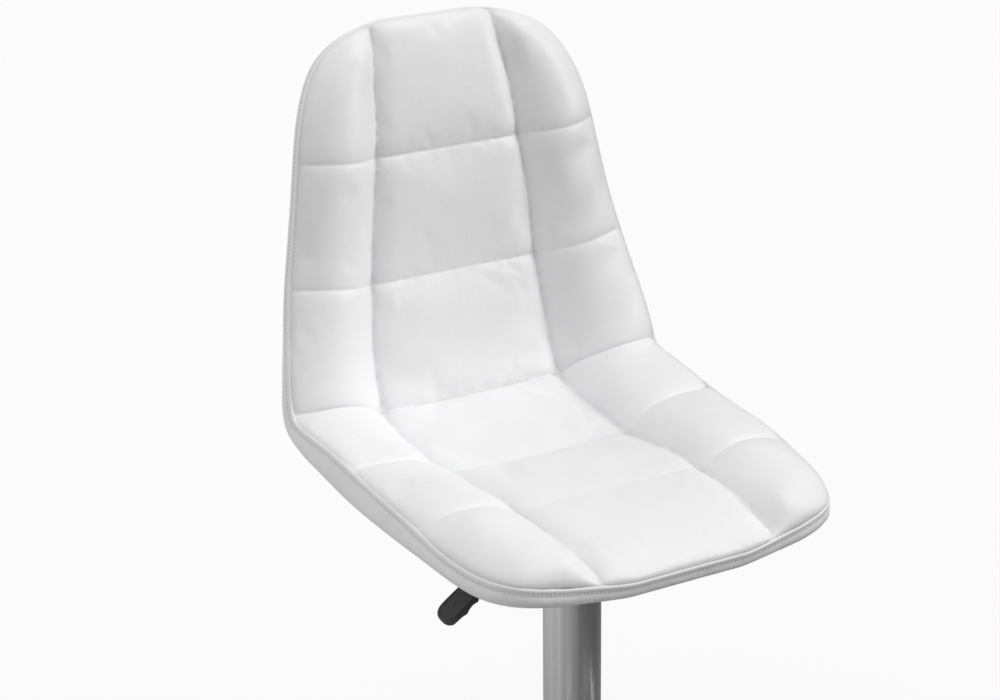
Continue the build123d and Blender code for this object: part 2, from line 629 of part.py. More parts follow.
# The size that the stations below are drawn for; they are stretched from it to the seat's own size.
DRAWN_WIDTH = 442.0
DRAWN_DEPTH = 424.0
DRAWN_HEIGHT = 424.0
DRAWN_STATIONS = [
    Station(-212, -14, 62, 0, 22, 22),
    Station(-205, -10, 112, 1, 26, 22),
    Station(-197, -7, 152, 3, 29, 22),
    Station(-184, -3, 180, 3, 34, 22),
    Station(-165, 1, 195, 1, 38, 22),
    Station(-135, 6, 206, 0, 43, 22),
    Station(-100, 9, 212, 3, 46, 22),
    Station(-65, 10, 215, 10, 47, 27),
    Station(0, 3, 216, 26, 40, 33),
    Station(67, -4, 216, 40, 34, 36),
    Station(130, 0, 218, 44, 37, 33),
    Station(172, 9, 220, 40, 43, 28),
    Station(201, 24, 221, 37, 42, 25),
    Station(217, 48, 221, 38, 38, 20),
    Station(226, 80, 218, 37, 34, 16),
    Station(233, 125, 210, 30, 32, 13),
    Station(237, 165, 202, 22, 31, 12),
    Station(240, 225, 189, 13, 30, 12),
    Station(244, 291, 177, 8, 28, 12),
    Station(251, 340, 166, 6, 26, 12),
    Station(259, 370, 153, 5, 24, 12),
    Station(266, 392, 137, 4, 22, 12),
    Station(272, 408, 113, 3, 20, 12),
    Station(276, 417, 88, 2, 18, 12),
    Station(279, 424, 50, 1, 16, 12),
]


def sized_stations():
    """The stations at the seat's real size, with their heights above the floor."""
    return [
        replace(
            drawn,
            y=drawn.y * SEAT_DEPTH / DRAWN_DEPTH,
            z=SEAT_LEVEL + drawn.z * (BACK_HEIGHT / DRAWN_HEIGHT if drawn.z > 0 else 1.0),
            half_width=drawn.half_width * SEAT_WIDTH / DRAWN_WIDTH,
        )
        for drawn in DRAWN_STATIONS
    ]


stations = sized_stations()
middle_line = [Vector(0, station.y, station.z) for station in stations]


def section_plane(index):
    """The plane across one station: local x to the side, local y away from the sitter."""
    before = middle_line[max(index - 1, 0)]
    after = middle_line[min(index + 1, len(stations) - 1)]
    return Plane(origin=middle_line[index], x_dir=(1, 0, 0), z_dir=after - before)


def surface_height(station, side):
    """Local y of the seating surface at a share of the half width from the middle."""
    return -station.lift * abs(side) ** LIFT_POWER


def full_depth(station, side):
    """Upholstery thickness at a share of the half width from the middle."""
    growth = station.edge_depth - station.middle_depth
    return station.middle_depth + growth * abs(side) ** DEPTH_POWER


def layer_face(station, reach, under):
    """Points across one face of a layer; under gives its depth from the full depth at each place."""
    return [
        (side * reach, surface_height(station, side) + under(full_depth(station, side)))
        for side in SECTION_SIDES
    ]


def loft_layer(near, far):
    """Loft one layer of the upholstery, between faces whose depths near and far give."""
    sections = []
    for index, station in enumerate(stations):
        reach = station.half_width - GAP
        plane = section_plane(index)
        if index == 0:
            plane = plane.offset(GAP)
        elif index == len(stations) - 1:
            plane = plane.offset(-GAP)
        with BuildSketch(plane) as section:
            with BuildLine():
                top = Spline(*layer_face(station, reach, near))
                bottom = Spline(*layer_face(station, reach, far))
                Line(top @ 0, bottom @ 0)
                Line(top @ 1, bottom @ 1)
            make_face()
        sections.append(section.sketch.face())
    loft(sections, ruled=True)


def shell_bottom(depth):
    """Depth of the moulded shell's outer face, just inside the rear cover."""
    return depth - SKIN - GAP


def shell_top(depth):
    """Depth of the moulded shell's inner face; the shell is at most a third of a thin edge."""
    return shell_bottom(depth) - min(SHELL, depth / 3)


shell_middle_bottom = underside + SKIN + GAP
shell_middle_top = shell_middle_bottom + SHELL
tee_nut_top = shell_middle_top + FIT + TEE_NUT_THICKNESS
screw_top = plate_bottom + SCREW_ENGAGEMENT
nut_pocket_top = max(tee_nut_top, screw_top) + NUT_POCKET_SPARE

with BuildPart() as quilted_cover:
    loft_layer(lambda depth: 0.0, lambda depth: SKIN)
finish(quilted_cover, "quilted_cover")

with BuildPart() as foam_pad:
    loft_layer(lambda depth: SKIN + GAP, lambda depth: shell_top(depth) - GAP)
    drill(underside, nut_pocket_top, TEE_NUT_FLANGE_RADIUS + TEE_NUT_WALL, screw_spots)
finish(foam_pad, "foam_pad")

with BuildPart() as seat_shell:
    loft_layer(shell_top, shell_bottom)
    drill(underside - SKIN, nut_pocket_top, SCREW_RADIUS + TEE_NUT_WALL + FIT, screw_spots)
    drill(shell_middle_top, nut_pocket_top, TEE_NUT_FLANGE_RADIUS + GAP, screw_spots)
finish(seat_shell, "seat_shell")

with BuildPart() as rear_cover:
    loft_layer(lambda depth: depth - SKIN, lambda depth: depth)
    drill(underside - SKIN, shell_middle_top, SCREW_RADIUS + TEE_NUT_WALL + GAP, screw_spots)
finish(rear_cover, "rear_cover")


def edge_frames():
    """Right-hand edge of the seating surface from the front middle to the top middle.

    Each entry is the point, the direction away from the sitter there, and the border's depth.
    """
    first, last = section_plane(0), section_plane(len(stations) - 1)
    frames = [(middle_line[0], first.y_dir, stations[0].edge_depth)]
    for index, station in enumerate(stations):
        plane = section_plane(index)
        local = (station.half_width, surface_height(station, 1.0))
        frames.append((plane.from_local_coords(local), plane.y_dir, station.edge_depth))
    frames.append((middle_line[-1], last.y_dir, stations[-1].edge_depth))
    return frames


with BuildPart() as border_band:
    frames = edge_frames()
    band_sections = []
    for index, (point, away, depth) in enumerate(frames):
        along = frames[min(index + 1, len(frames) - 1)][0] - frames[max(index - 1, 0)][0]
        outward = away.cross(along).normalized()
        with BuildSketch(Plane(origin=point, x_dir=outward, z_dir=outward.cross(away))) as band_section:
            with Locations((SKIN / 2, depth / 2)):
                Rectangle(SKIN, depth)
        band_sections.append(band_section.sketch.face())
    loft(band_sections, ruled=True)
    mirror(about=Plane.YZ)
finish(border_band, "border_band")

with BuildPart() as tee_nuts:
    flange_bottom = tee_nut_top - TEE_NUT_THICKNESS
    extrude_ring(flange_bottom, tee_nut_top, TEE_NUT_FLANGE_RADIUS, SCREW_RADIUS + FIT, screw_spots)
    barrel_radius = SCREW_RADIUS + TEE_NUT_WALL
    extrude_ring(shell_middle_bottom, flange_bottom, barrel_radius, SCREW_RADIUS + FIT, screw_spots)
finish(tee_nuts, "tee_nuts")

with BuildPart() as seat_screws:
    head_bottom = plate_bottom - WASHER_THICKNESS - SCREW_HEAD_HEIGHT
    extrude_ring(head_bottom, head_bottom + SCREW_HEAD_HEIGHT, SCREW_HEAD_RADIUS, spots=screw_spots)
    extrude_ring(head_bottom + SCREW_HEAD_HEIGHT, screw_top, SCREW_RADIUS, spots=screw_spots)
    drill_hexagons(head_bottom, SCREW_SOCKET_DEPTH, SCREW_SOCKET_RADIUS, screw_spots)
finish(seat_screws, "seat_screws")

with BuildPart() as seat_washers:
    washer_radius = SCREW_HEAD_RADIUS + SCREW_WASHER_MARGIN
    washer_bottom = plate_bottom - WASHER_THICKNESS
    extrude_ring(washer_bottom, plate_bottom, washer_radius, SCREW_RADIUS + FIT, screw_spots)
finish(seat_washers, "seat_washers")
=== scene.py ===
"""Looks of the swivel bar stool: a quilted bucket on a gas-lift column with footrest and round base.

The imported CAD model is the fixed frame. The upholstery is rebuilt as sewn leather over foam, the lever's
handle as a moulded paddle, and every carried-over part gets the finish that its real material has.
"""

import json
import logging
import math
from dataclasses import dataclass, field
from enum import Enum

import bpy
import numpy as np
from mathutils import Matrix, Vector
from mathutils.bvhtree import BVHTree
from mathutils.kdtree import KDTree

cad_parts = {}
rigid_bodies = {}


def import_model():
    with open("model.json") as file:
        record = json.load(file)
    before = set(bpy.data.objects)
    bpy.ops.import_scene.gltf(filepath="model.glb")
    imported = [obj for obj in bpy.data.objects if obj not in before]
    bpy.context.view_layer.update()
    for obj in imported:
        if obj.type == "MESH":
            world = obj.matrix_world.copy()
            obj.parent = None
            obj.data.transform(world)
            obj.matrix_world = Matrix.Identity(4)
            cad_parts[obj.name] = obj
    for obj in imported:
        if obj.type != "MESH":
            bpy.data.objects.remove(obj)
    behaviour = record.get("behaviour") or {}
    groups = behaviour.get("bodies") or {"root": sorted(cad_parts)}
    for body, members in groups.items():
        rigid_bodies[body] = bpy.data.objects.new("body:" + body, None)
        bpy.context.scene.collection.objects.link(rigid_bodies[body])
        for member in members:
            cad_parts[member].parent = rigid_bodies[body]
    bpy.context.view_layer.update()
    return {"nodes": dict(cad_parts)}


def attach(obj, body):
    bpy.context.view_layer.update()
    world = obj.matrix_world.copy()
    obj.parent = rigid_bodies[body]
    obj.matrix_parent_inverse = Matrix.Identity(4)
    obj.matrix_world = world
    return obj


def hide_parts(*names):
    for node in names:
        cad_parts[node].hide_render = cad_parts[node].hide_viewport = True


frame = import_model()

log = logging.getLogger("stool")
MM = 0.001
SEAT_LEVEL = 610.0  # millimetres from the floor to the stitching level in the middle of the seat
Points = np.ndarray


# ------------------------------------------------------------------ small tools


def linear(hex_colour: str) -> tuple[float, float, float, float]:
    """Turn an sRGB hex colour into the linear colour that a shader takes.

    Args:
        hex_colour: six hex digits after a hash.

    Returns:
        Red, green, blue and an alpha of one.
    """
    parts = [int(hex_colour[place : place + 2], 16) / 255 for place in (1, 3, 5)]
    curve = [p / 12.92 if p <= 0.04045 else ((p + 0.055) / 1.055) ** 2.4 for p in parts]
    return (curve[0], curve[1], curve[2], 1.0)


def add_node(
    tree: bpy.types.NodeTree, kind: str, values: dict | None = None, **settings: object
) -> bpy.types.Node:
    """Add a node with its settings, its values and its links.

    Args:
        tree: node tree that gets the node.
        kind: node type.
        values: input names or numbers, each with a value or with an output socket to link.
        settings: properties of the node itself.

    Returns:
        The new node.
    """
    node = tree.nodes.new(kind)
    for name, setting in settings.items():
        setattr(node, name, setting)
    for name, value in (values or {}).items():
        if isinstance(value, bpy.types.NodeSocket):
            tree.links.new(value, node.inputs[name])
        else:
            node.inputs[name].default_value = value
    return node


def deselect_all() -> None:
    """Leave nothing selected, because an operator acts on all that is."""
    for thing in bpy.context.view_layer.objects:
        thing.select_set(False)


def make_active(piece: bpy.types.Object) -> None:
    """Select only this piece and make it the active one."""
    deselect_all()
    piece.select_set(True)
    bpy.context.view_layer.objects.active = piece


def natural_spline(knots: Points, values: Points, places: Points) -> Points:
    """Evaluate the natural cubic through some values.

    Args:
        knots: rising places of the values.
        values: one row of values for each knot.
        places: where the curve is wanted.

    Returns:
        One row of values for each place.
    """
    steps = np.diff(knots)
    count = len(knots)
    system, wanted = np.eye(count), np.zeros_like(values, dtype=float)
    for row in range(1, count - 1):
        before, after = steps[row - 1], steps[row]
        system[row, row - 1 : row + 2] = before, 2 * (before + after), after
        rise = (values[row + 1] - values[row]) / after - (values[row] - values[row - 1]) / before
        wanted[row] = 6 * rise
    bend = np.linalg.solve(system, wanted)
    span = np.clip(np.searchsorted(knots, places) - 1, 0, count - 2)
    step = steps[span][:, None]
    low, high = (places - knots[span])[:, None], (knots[span + 1] - places)[:, None]
    curved = (bend[span] * high**3 + bend[span + 1] * low**3) / (6 * step)
    return (
        curved
        + (values[span] / step - bend[span] * step / 6) * high
        + (values[span + 1] / step - bend[span + 1] * step / 6) * low
    )


def resample(line: Points, count: int, crowd: float = 0.0) -> Points:
    """Divide a line into steps along its length.

    Args:
        line: points of the line.
        count: number of steps.
        crowd: how much closer the points come near both ends, from 0 to 0.15.

    Returns:
        count + 1 points.
    """
    length = np.concatenate([[0], np.cumsum(np.linalg.norm(np.diff(line, axis=0), axis=1))])
    share = np.linspace(0, 1, count + 1)
    share = share - crowd * np.sin(2 * np.pi * share)
    return np.stack([np.interp(share * length[-1], length, line[:, k]) for k in range(line.shape[1])], axis=1)


def unit(vectors: Points) -> Points:
    """Scale each vector to a length of one."""
    return vectors / np.maximum(np.linalg.norm(vectors, axis=-1, keepdims=True), 1e-12)


def smooth_step(low: float, high: float, value: Points) -> Points:
    """Ease from 0 at low to 1 at high."""
    share = np.clip((value - low) / (high - low), 0, 1)
    return share * share * (3 - 2 * share)


def quarter_round(distance: Points, reach: float) -> Points:
    """Rise like a quarter circle from 0 at a seam to 1 at the given reach from it."""
    share = np.clip(distance / reach, 0, 1)
    return np.sqrt(1 - (1 - share) ** 2)


def nearest_distance(points: Points, lines: list[Points]) -> Points:
    """Measure how far each point is from the closest of some lines.

    Args:
        points: places to measure from.
        lines: densely sampled lines.

    Returns:
        One distance for each point.
    """
    samples = np.concatenate(lines)
    tree = KDTree(len(samples))
    for index, sample in enumerate(samples):
        tree.insert(sample, index)
    tree.balance()
    return np.array([tree.find(point)[2] for point in points])


def gentle_noise(points: Points, size: float, seed: float) -> Points:
    """Smooth repeatable unevenness made from a few crossed waves.

    Args:
        points: places in millimetres.
        size: usual length of a wave in millimetres.
        seed: shifts the pattern.

    Returns:
        One value from about -1 to 1 for each point.
    """
    total = np.zeros(len(points))
    for turn in range(6):
        angle = 2.399963 * turn + seed
        heading = np.array([math.cos(angle), math.sin(angle), math.sin(1.7 * angle + seed)])
        stretch = 1 + 0.37 * math.sin(3.1 * turn + seed)
        total += np.sin(points @ heading * (2 * np.pi / (size * stretch)) + 5.3 * turn * seed)
    return total / 3


# ------------------------------------------------------------------ the bucket's form


@dataclass(frozen=True)
class BucketForm:
    """The bucket's seating surface, addressed by flat points: distance along its middle line, and sideways.

    Each station is y, z, half width, lift of the sides, and depth at the middle and at the edge, in
    millimetres from the column's axis and the seat level.
    """

    stations: tuple[tuple[float, ...], ...] = (
        (-212, -14, 62, 0, 22, 22),
        (-205, -10, 112, 1, 26, 22),
        (-197, -7, 152, 3, 29, 22),
        (-184, -3, 180, 3, 34, 22),
        (-165, 1, 195, 1, 38, 22),
        (-135, 6, 206, 0, 43, 22),
        (-100, 9, 212, 3, 46, 22),
        (-65, 10, 215, 10, 47, 27),
        (0, 3, 216, 26, 40, 33),
        (67, -4, 216, 40, 34, 36),
        (130, 0, 218, 44, 37, 33),
        (172, 9, 220, 40, 43, 28),
        (201, 24, 221, 37, 42, 25),
        (217, 48, 221, 38, 38, 20),
        (226, 80, 218, 37, 34, 16),
        (233, 125, 210, 30, 32, 13),
        (237, 165, 202, 22, 31, 12),
        (240, 225, 189, 13, 30, 12),
        (244, 291, 177, 8, 28, 12),
        (251, 340, 166, 6, 26, 12),
        (259, 370, 153, 5, 24, 12),
        (266, 392, 137, 4, 22, 12),
        (272, 408, 113, 3, 20, 12),
        (276, 417, 88, 2, 18, 12),
        (279, 424, 50, 1, 16, 12),
    )
    lift_power: float = 2.6  # how late the sides turn up
    depth_power: float = 4.0  # how late the thickness changes towards the edge
    front_half: float = 31.0  # half width at the very front, where the outline runs straight across
    top_half: float = 25.0  # and at the very top
    tangent_step: float = 2.0  # distance each way over which the middle line's direction is taken

    def table(self) -> Points:
        """The stations as one array."""
        return np.array(self.stations, dtype=float)

    def knots(self) -> Points:
        """Distance of each station along the middle line."""
        table = self.table()
        return np.concatenate([[0], np.cumsum(np.linalg.norm(np.diff(table[:, :2], axis=0), axis=1))])

    def away(self, places: Points) -> Points:
        """Directions that point away from the sitter, square to the middle line.

        Args:
            places: distances along the middle line.

        Returns:
            One unit vector for each place.
        """
        knots, table = self.knots(), self.table()
        step = self.tangent_step
        ahead = natural_spline(knots, table[:, :2], np.clip(places + step, 0, knots[-1]))
        behind = natural_spline(knots, table[:, :2], np.clip(places - step, 0, knots[-1]))
        tangent = unit(ahead - behind)
        return np.stack([np.zeros(len(places)), tangent[:, 1], -tangent[:, 0]], axis=1)

    def shares(self, flat: Points) -> Points:
        """How far out each flat point is, from 0 in the middle to 1 at the edge."""
        width = natural_spline(self.knots(), self.table()[:, 2:3], flat[:, 0])[:, 0]
        return np.clip(np.abs(flat[:, 1]) / np.maximum(width, 1), 0, 1)

    def seating(self, flat: Points) -> Points:
        """Place flat points on the seating surface.

        Args:
            flat: distance along the middle line and distance sideways of each point.

        Returns:
            Places in millimetres.
        """
        values = natural_spline(self.knots(), self.table(), flat[:, 0])
        rise = values[:, 3] * self.shares(flat) ** self.lift_power
        middle = np.stack([flat[:, 1], values[:, 0], values[:, 1] + SEAT_LEVEL], axis=1)
        return middle - self.away(flat[:, 0]) * rise[:, None]

    def normals(self, flat: Points) -> Points:
        """Directions that point at the sitter, square to the seating surface."""
        aside, ahead = np.array([0, 1.0]), np.array([1.0, 0])
        across = self.seating(flat + aside) - self.seating(flat - aside)
        limit = self.knots()[-1]
        front, back = flat + ahead, flat - ahead
        front[:, 0], back[:, 0] = np.clip(front[:, 0], 0, limit), np.clip(back[:, 0], 0, limit)
        return unit(np.cross(across, self.seating(front) - self.seating(back)))

    def depths(self, flat: Points) -> Points:
        """Thickness of the bucket behind each flat point."""
        values = natural_spline(self.knots(), self.table(), flat[:, 0])
        return values[:, 4] + (values[:, 5] - values[:, 4]) * self.shares(flat) ** self.depth_power

    def edge_line(self) -> Points:
        """Right half of the outline as flat points, from the front middle to the top middle."""
        table, knots = self.table(), self.knots()
        ends = [[0, 0], [0, self.front_half]], [[knots[-1], self.top_half], [knots[-1], 0]]
        outline = np.array([*ends[0], *zip(knots, table[:, 2]), *ends[1]], dtype=float)
        length = np.concatenate([[0], np.cumsum(np.linalg.norm(np.diff(outline, axis=0), axis=1))])
        line = natural_spline(length, outline, np.arange(0, length[-1], 1.0))
        line[:, 0] = np.clip(line[:, 0], 0, knots[-1])
        return np.concatenate([line, outline[-1:]])


@dataclass(frozen=True)
class Seam:
    """A seam across the bucket: where it meets the upright seam and the edge, and how deep it is sewn."""

    name: str
    at_upright: tuple[float, float, float]
    at_edge: tuple[float, float, float]
    middle_depth: float
    side_depth: float
    reach: float  # how far from the seam the panel is pulled down
    steps: int  # mesh rows from the seam in front of it


@dataclass(frozen=True)
class QuiltLayout:
    """Where the sewn lines of the quilting run, as flat points on the bucket."""

    form: BucketForm = field(default_factory=BucketForm)
    seams: tuple[Seam, ...] = (
        Seam("front", (105, -73.5, 12), (214, -65, 19), 3.4, 8.0, 44, 30),
        Seam("seat", (109, 66, 3), (216, 67, 36), 3.2, 8.0, 44, 32),
        Seam("crease", (107.5, 202, 25), (221, 184, 53.5), 8.0, 8.0, 28, 34),
        Seam("loin", (99, 233, 159), (200, 215, 175.5), 5.6, 3.4, 21, 31),
        Seam("shoulder", (85, 242, 291), (175, 237, 299), 5.6, 3.4, 21, 30),
    )
    top_steps: int = 31
    half_middle_columns: int = 24
    side_columns: int = 25
    front_width: float = 98.0  # half the distance between the upright seams at the front edge
    top_width: float = 69.0  # and at the top edge
    front_corner: float = 178.0  # half the width where the front edge turns into the side
    top_corner: float = 122.0
    end_margin: float = 30.0  # stretch at both ends of the outline in which no seam meets it
    upright_swell: float = 1.6  # how far an upright seam bows outwards between two seams across
    samples: int = 60  # points along each piece of seam

    def along(self, target: tuple[float, float, float], on_edge: bool) -> float:
        """Distance along the middle line at which a place in space lies.

        Args:
            target: x, y and z, with z from the seat level.
            on_edge: whether the place is on the outline.

        Returns:
            The distance in millimetres.
        """
        places = np.arange(1, self.form.knots()[-1] - 1, 0.5)
        sideways = np.full(len(places), target[0])
        flat = np.stack([places, sideways], axis=1)
        if on_edge:
            line = self.form.edge_line()
            last = self.form.knots()[-1] - self.end_margin
            flat = line[(line[:, 0] > self.end_margin) & (line[:, 0] < last)]
        gap = np.linalg.norm(self.form.seating(flat) - np.array(target) - [0, 0, SEAT_LEVEL], axis=1)
        return float(flat[np.argmin(gap), 0])

    def edge_between(self, start: tuple[float, float], end: tuple[float, float]) -> Points:
        """Part of the right outline between the points nearest to two flat points."""
        line = self.form.edge_line()
        first, last = (int(np.argmin(np.linalg.norm(line - np.array(p), axis=1))) for p in (start, end))
        return line[first : last + 1]

    def edge_crossing(self, width: float, front: bool) -> tuple[float, float]:
        """Flat point at which the outline has a half width, near the front or near the top."""
        line = self.form.edge_line()
        half = len(line) // 2
        part = line[:half] if front else line[half:]
        place = part[int(np.argmin(np.abs(part[:, 1] - width)))]
        return float(place[0]), float(place[1])

    def upright(self) -> list[Points]:
        """The right upright seam, one piece for each row of panels from the front to the top."""
        knots = [self.edge_crossing(self.front_width, True)]
        knots += [(self.along(seam.at_upright, False), seam.at_upright[0]) for seam in self.seams]
        knots.append(self.edge_crossing(self.top_width, False))
        places = np.array(knots)
        pieces = []
        for start, end in zip(places[:-1, 0], places[1:, 0]):
            run = np.linspace(start, end, self.samples)
            width = natural_spline(places[:, 0], places[:, 1:], run)[:, 0]
            swell = self.upright_swell * np.sin(np.pi * (run - start) / (end - start)) ** 2
            pieces.append(np.stack([run, width + swell], axis=1))
        return pieces

    def side_seams(self) -> list[Points]:
        """The right outer part of each seam across, from the upright seam to the edge."""
        lines = []
        for seam in self.seams:
            inner = np.array([self.along(seam.at_upright, False), seam.at_upright[0]])
            reach = self.along(seam.at_edge, True)
            outline = self.form.edge_line()
            sixth = len(outline) // 6  # the front and top edges, which run across and are left out
            middle = outline[sixth : -len(outline) // 6]
            outer = middle[int(np.argmin(np.abs(middle[:, 0] - reach)))]
            share = np.linspace(0, 1, self.samples)[:, None]
            lines.append(inner + (outer - inner) * share)
        return lines


def coons(front: Points, back: Points, left: Points, right: Points) -> Points:
    """Fill the space between four lines with a grid.

    Args:
        front, back: lines that run to the right, with equal counts.
        left, right: lines that run backwards, with equal counts.

    Returns:
        Grid of flat points, rows from front to back.
    """
    u = np.linspace(0, 1, len(front))[None, :, None]
    v = np.linspace(0, 1, len(left))[:, None, None]
    ruled = (1 - v) * front[None] + v * back[None] + (1 - u) * left[:, None] + u * right[:, None]
    corners = (1 - v) * ((1 - u) * front[0] + u * front[-1]) + v * ((1 - u) * back[0] + u * back[-1])
    return ruled - corners


@dataclass
class QuiltGrid:
    """A grid of flat points whose rows and columns follow the sewn lines."""

    layout: QuiltLayout = field(default_factory=QuiltLayout)
    crowd: float = 0.085  # how much closer the points come near the seams
    middle_crowd: float = 0.05  # the same across the middle panels

    def build(self) -> Points:
        """Lay out the whole grid.

        Returns:
            Flat points, rows from front to top and columns from left to right.
        """
        plan = self.layout
        middle, side = 2 * plan.half_middle_columns, plan.side_columns
        upright, across = plan.upright(), plan.side_seams()
        front_corner = plan.edge_crossing(plan.front_corner, True)
        top_corner = plan.edge_crossing(plan.top_corner, False)
        fronts = [plan.edge_between((0, 0), tuple(upright[0][0]))]
        fronts += [np.array([[line[0, 0], 0], line[0]]) for line in across]
        fronts.append(plan.edge_between(tuple(upright[-1][-1]), (plan.form.knots()[-1], 0))[::-1])
        outers = [plan.edge_between(tuple(upright[0][0]), front_corner), *across]
        outers.append(plan.edge_between(top_corner, tuple(upright[-1][-1]))[::-1])
        stops = [front_corner, *[tuple(line[-1]) for line in across], top_corner]
        mirror = np.array([1, -1])
        rows = []
        for index, seam_line in enumerate(upright):
            steps = [*[seam.steps for seam in plan.seams], plan.top_steps][index]
            left = resample(seam_line, steps, self.crowd)
            edge = resample(plan.edge_between(stops[index], stops[index + 1]), steps, self.crowd)
            near = [
                resample(np.concatenate([half[::-1] * mirror, half[1:]]), middle, self.middle_crowd)
                for half in fronts[index : index + 2]
            ]
            far = [resample(line, side, self.crowd) for line in outers[index : index + 2]]
            centre = coons(near[0], near[1], left * mirror, left)
            outer = coons(far[0], far[1], left, edge)
            block = np.concatenate([outer[:, ::-1] * mirror, centre[:, 1:-1], outer], axis=1)
            rows.append(block if index == 0 else block[1:])
        return np.concatenate(rows)

    def seam_rows(self) -> list[int]:
        """Numbers of the rows that lie on a seam across."""
        return list(np.cumsum([seam.steps for seam in self.layout.seams]))

    def seam_columns(self) -> list[int]:
        """Numbers of the two columns that lie on the upright seams."""
        side, middle = self.layout.side_columns, 2 * self.layout.half_middle_columns
        return [side, side + middle]


# ------------------------------------------------------------------ upholstery


@dataclass(frozen=True)
class PuffProfile:
    """How the foam lifts the leather between its seams, in millimetres."""

    middle_height: float = 10.5
    middle_reach: float = 24.0
    side_height: float = 28.0
    side_places: tuple[float, ...] = (60.0, 180.0, 330.0, 450.0)  # along the middle line: seat, then back
    crown_powers: tuple[float, ...] = (1.15, 0.84, 0.8, 1.06)  # how far out the side roll's crown lies there
    fullness_powers: tuple[float, ...] = (0.62, 0.66, 0.66, 0.74)  # how steeply the roll rises there
    junction_reach: float = 50.0  # how gently the rolls start where an upright seam runs into the edge
    edge_reach: float = 17.0
    front_zone: float = 120.0  # distance from the front in which the middle panel slopes down more gently
    front_reach: float = 42.0
    roll_places: tuple[float, ...] = (0, 60, 140, 280, 420, 560, 700)  # and short of the top, and the top
    roll_shares: tuple[float, ...] = (0.76, 0.86, 0.88, 0.86, 0.92, 0.98, 0.96, 0.82, 0.6)
    top_zone: float = 60.0  # distance from the top in which the rolls die away
    unevenness: float = 0.05
    uneven_size: float = 95.0


@dataclass(frozen=True)
class LeatherCloth:
    """How the leather behaves while the foam's pressure settles it between its seams."""

    pressure: float = 3.0
    spare: float = 0.002  # share by which the leather is cut larger than the panel
    travel: float = 6.5  # furthest that a point may move, in millimetres
    mass: float = 0.3
    stretch_stiffness: float = 25.0
    shear_stiffness: float = 8.0
    bending_stiffness: float = 5.0
    air_damping: float = 3.0
    quality: int = 6
    frames: int = 20

    def settle(self, piece: bpy.types.Object, held: Points) -> None:
        """Simulate the sheet and keep where it comes to rest.

        Args:
            piece: the sheet.
            held: numbers of the points that a seam holds.
        """
        make_active(piece)
        before = read_points(piece.data)
        group = piece.vertex_groups.new(name="sewn")
        group.add([int(index) for index in held], 1.0, "REPLACE")
        cloth = piece.modifiers.new("settle", "CLOTH")
        settings = cloth.settings
        settings.quality = self.quality
        settings.mass = self.mass
        settings.tension_stiffness = settings.compression_stiffness = self.stretch_stiffness
        settings.shear_stiffness = self.shear_stiffness
        settings.bending_stiffness = self.bending_stiffness
        settings.air_damping = self.air_damping
        settings.use_pressure = True
        settings.uniform_pressure_force = self.pressure
        settings.vertex_group_mass = group.name
        settings.shrink_min = -self.spare
        settings.effector_weights.gravity = 0
        scene = bpy.context.scene
        scene.frame_start, scene.frame_end = 1, self.frames
        cloth.point_cache.frame_start, cloth.point_cache.frame_end = 1, self.frames
        for step in range(1, self.frames + 1):
            scene.frame_set(step)
        settled = piece.evaluated_get(bpy.context.evaluated_depsgraph_get())
        after = read_points(settled.data)
        piece.modifiers.remove(cloth)
        scene.frame_set(1)
        move = after - before
        length = np.linalg.norm(move, axis=1, keepdims=True)
        limit = self.travel * MM
        capped = limit * np.tanh(length / limit)
        after = before + move * (capped / np.maximum(length, 1e-9))
        piece.data.vertices.foreach_set("co", after.ravel())
        piece.vertex_groups.remove(group)
        piece.data.update()
        log.info("%s settled by up to %.1f mm", piece.name, float(capped.max() / MM))


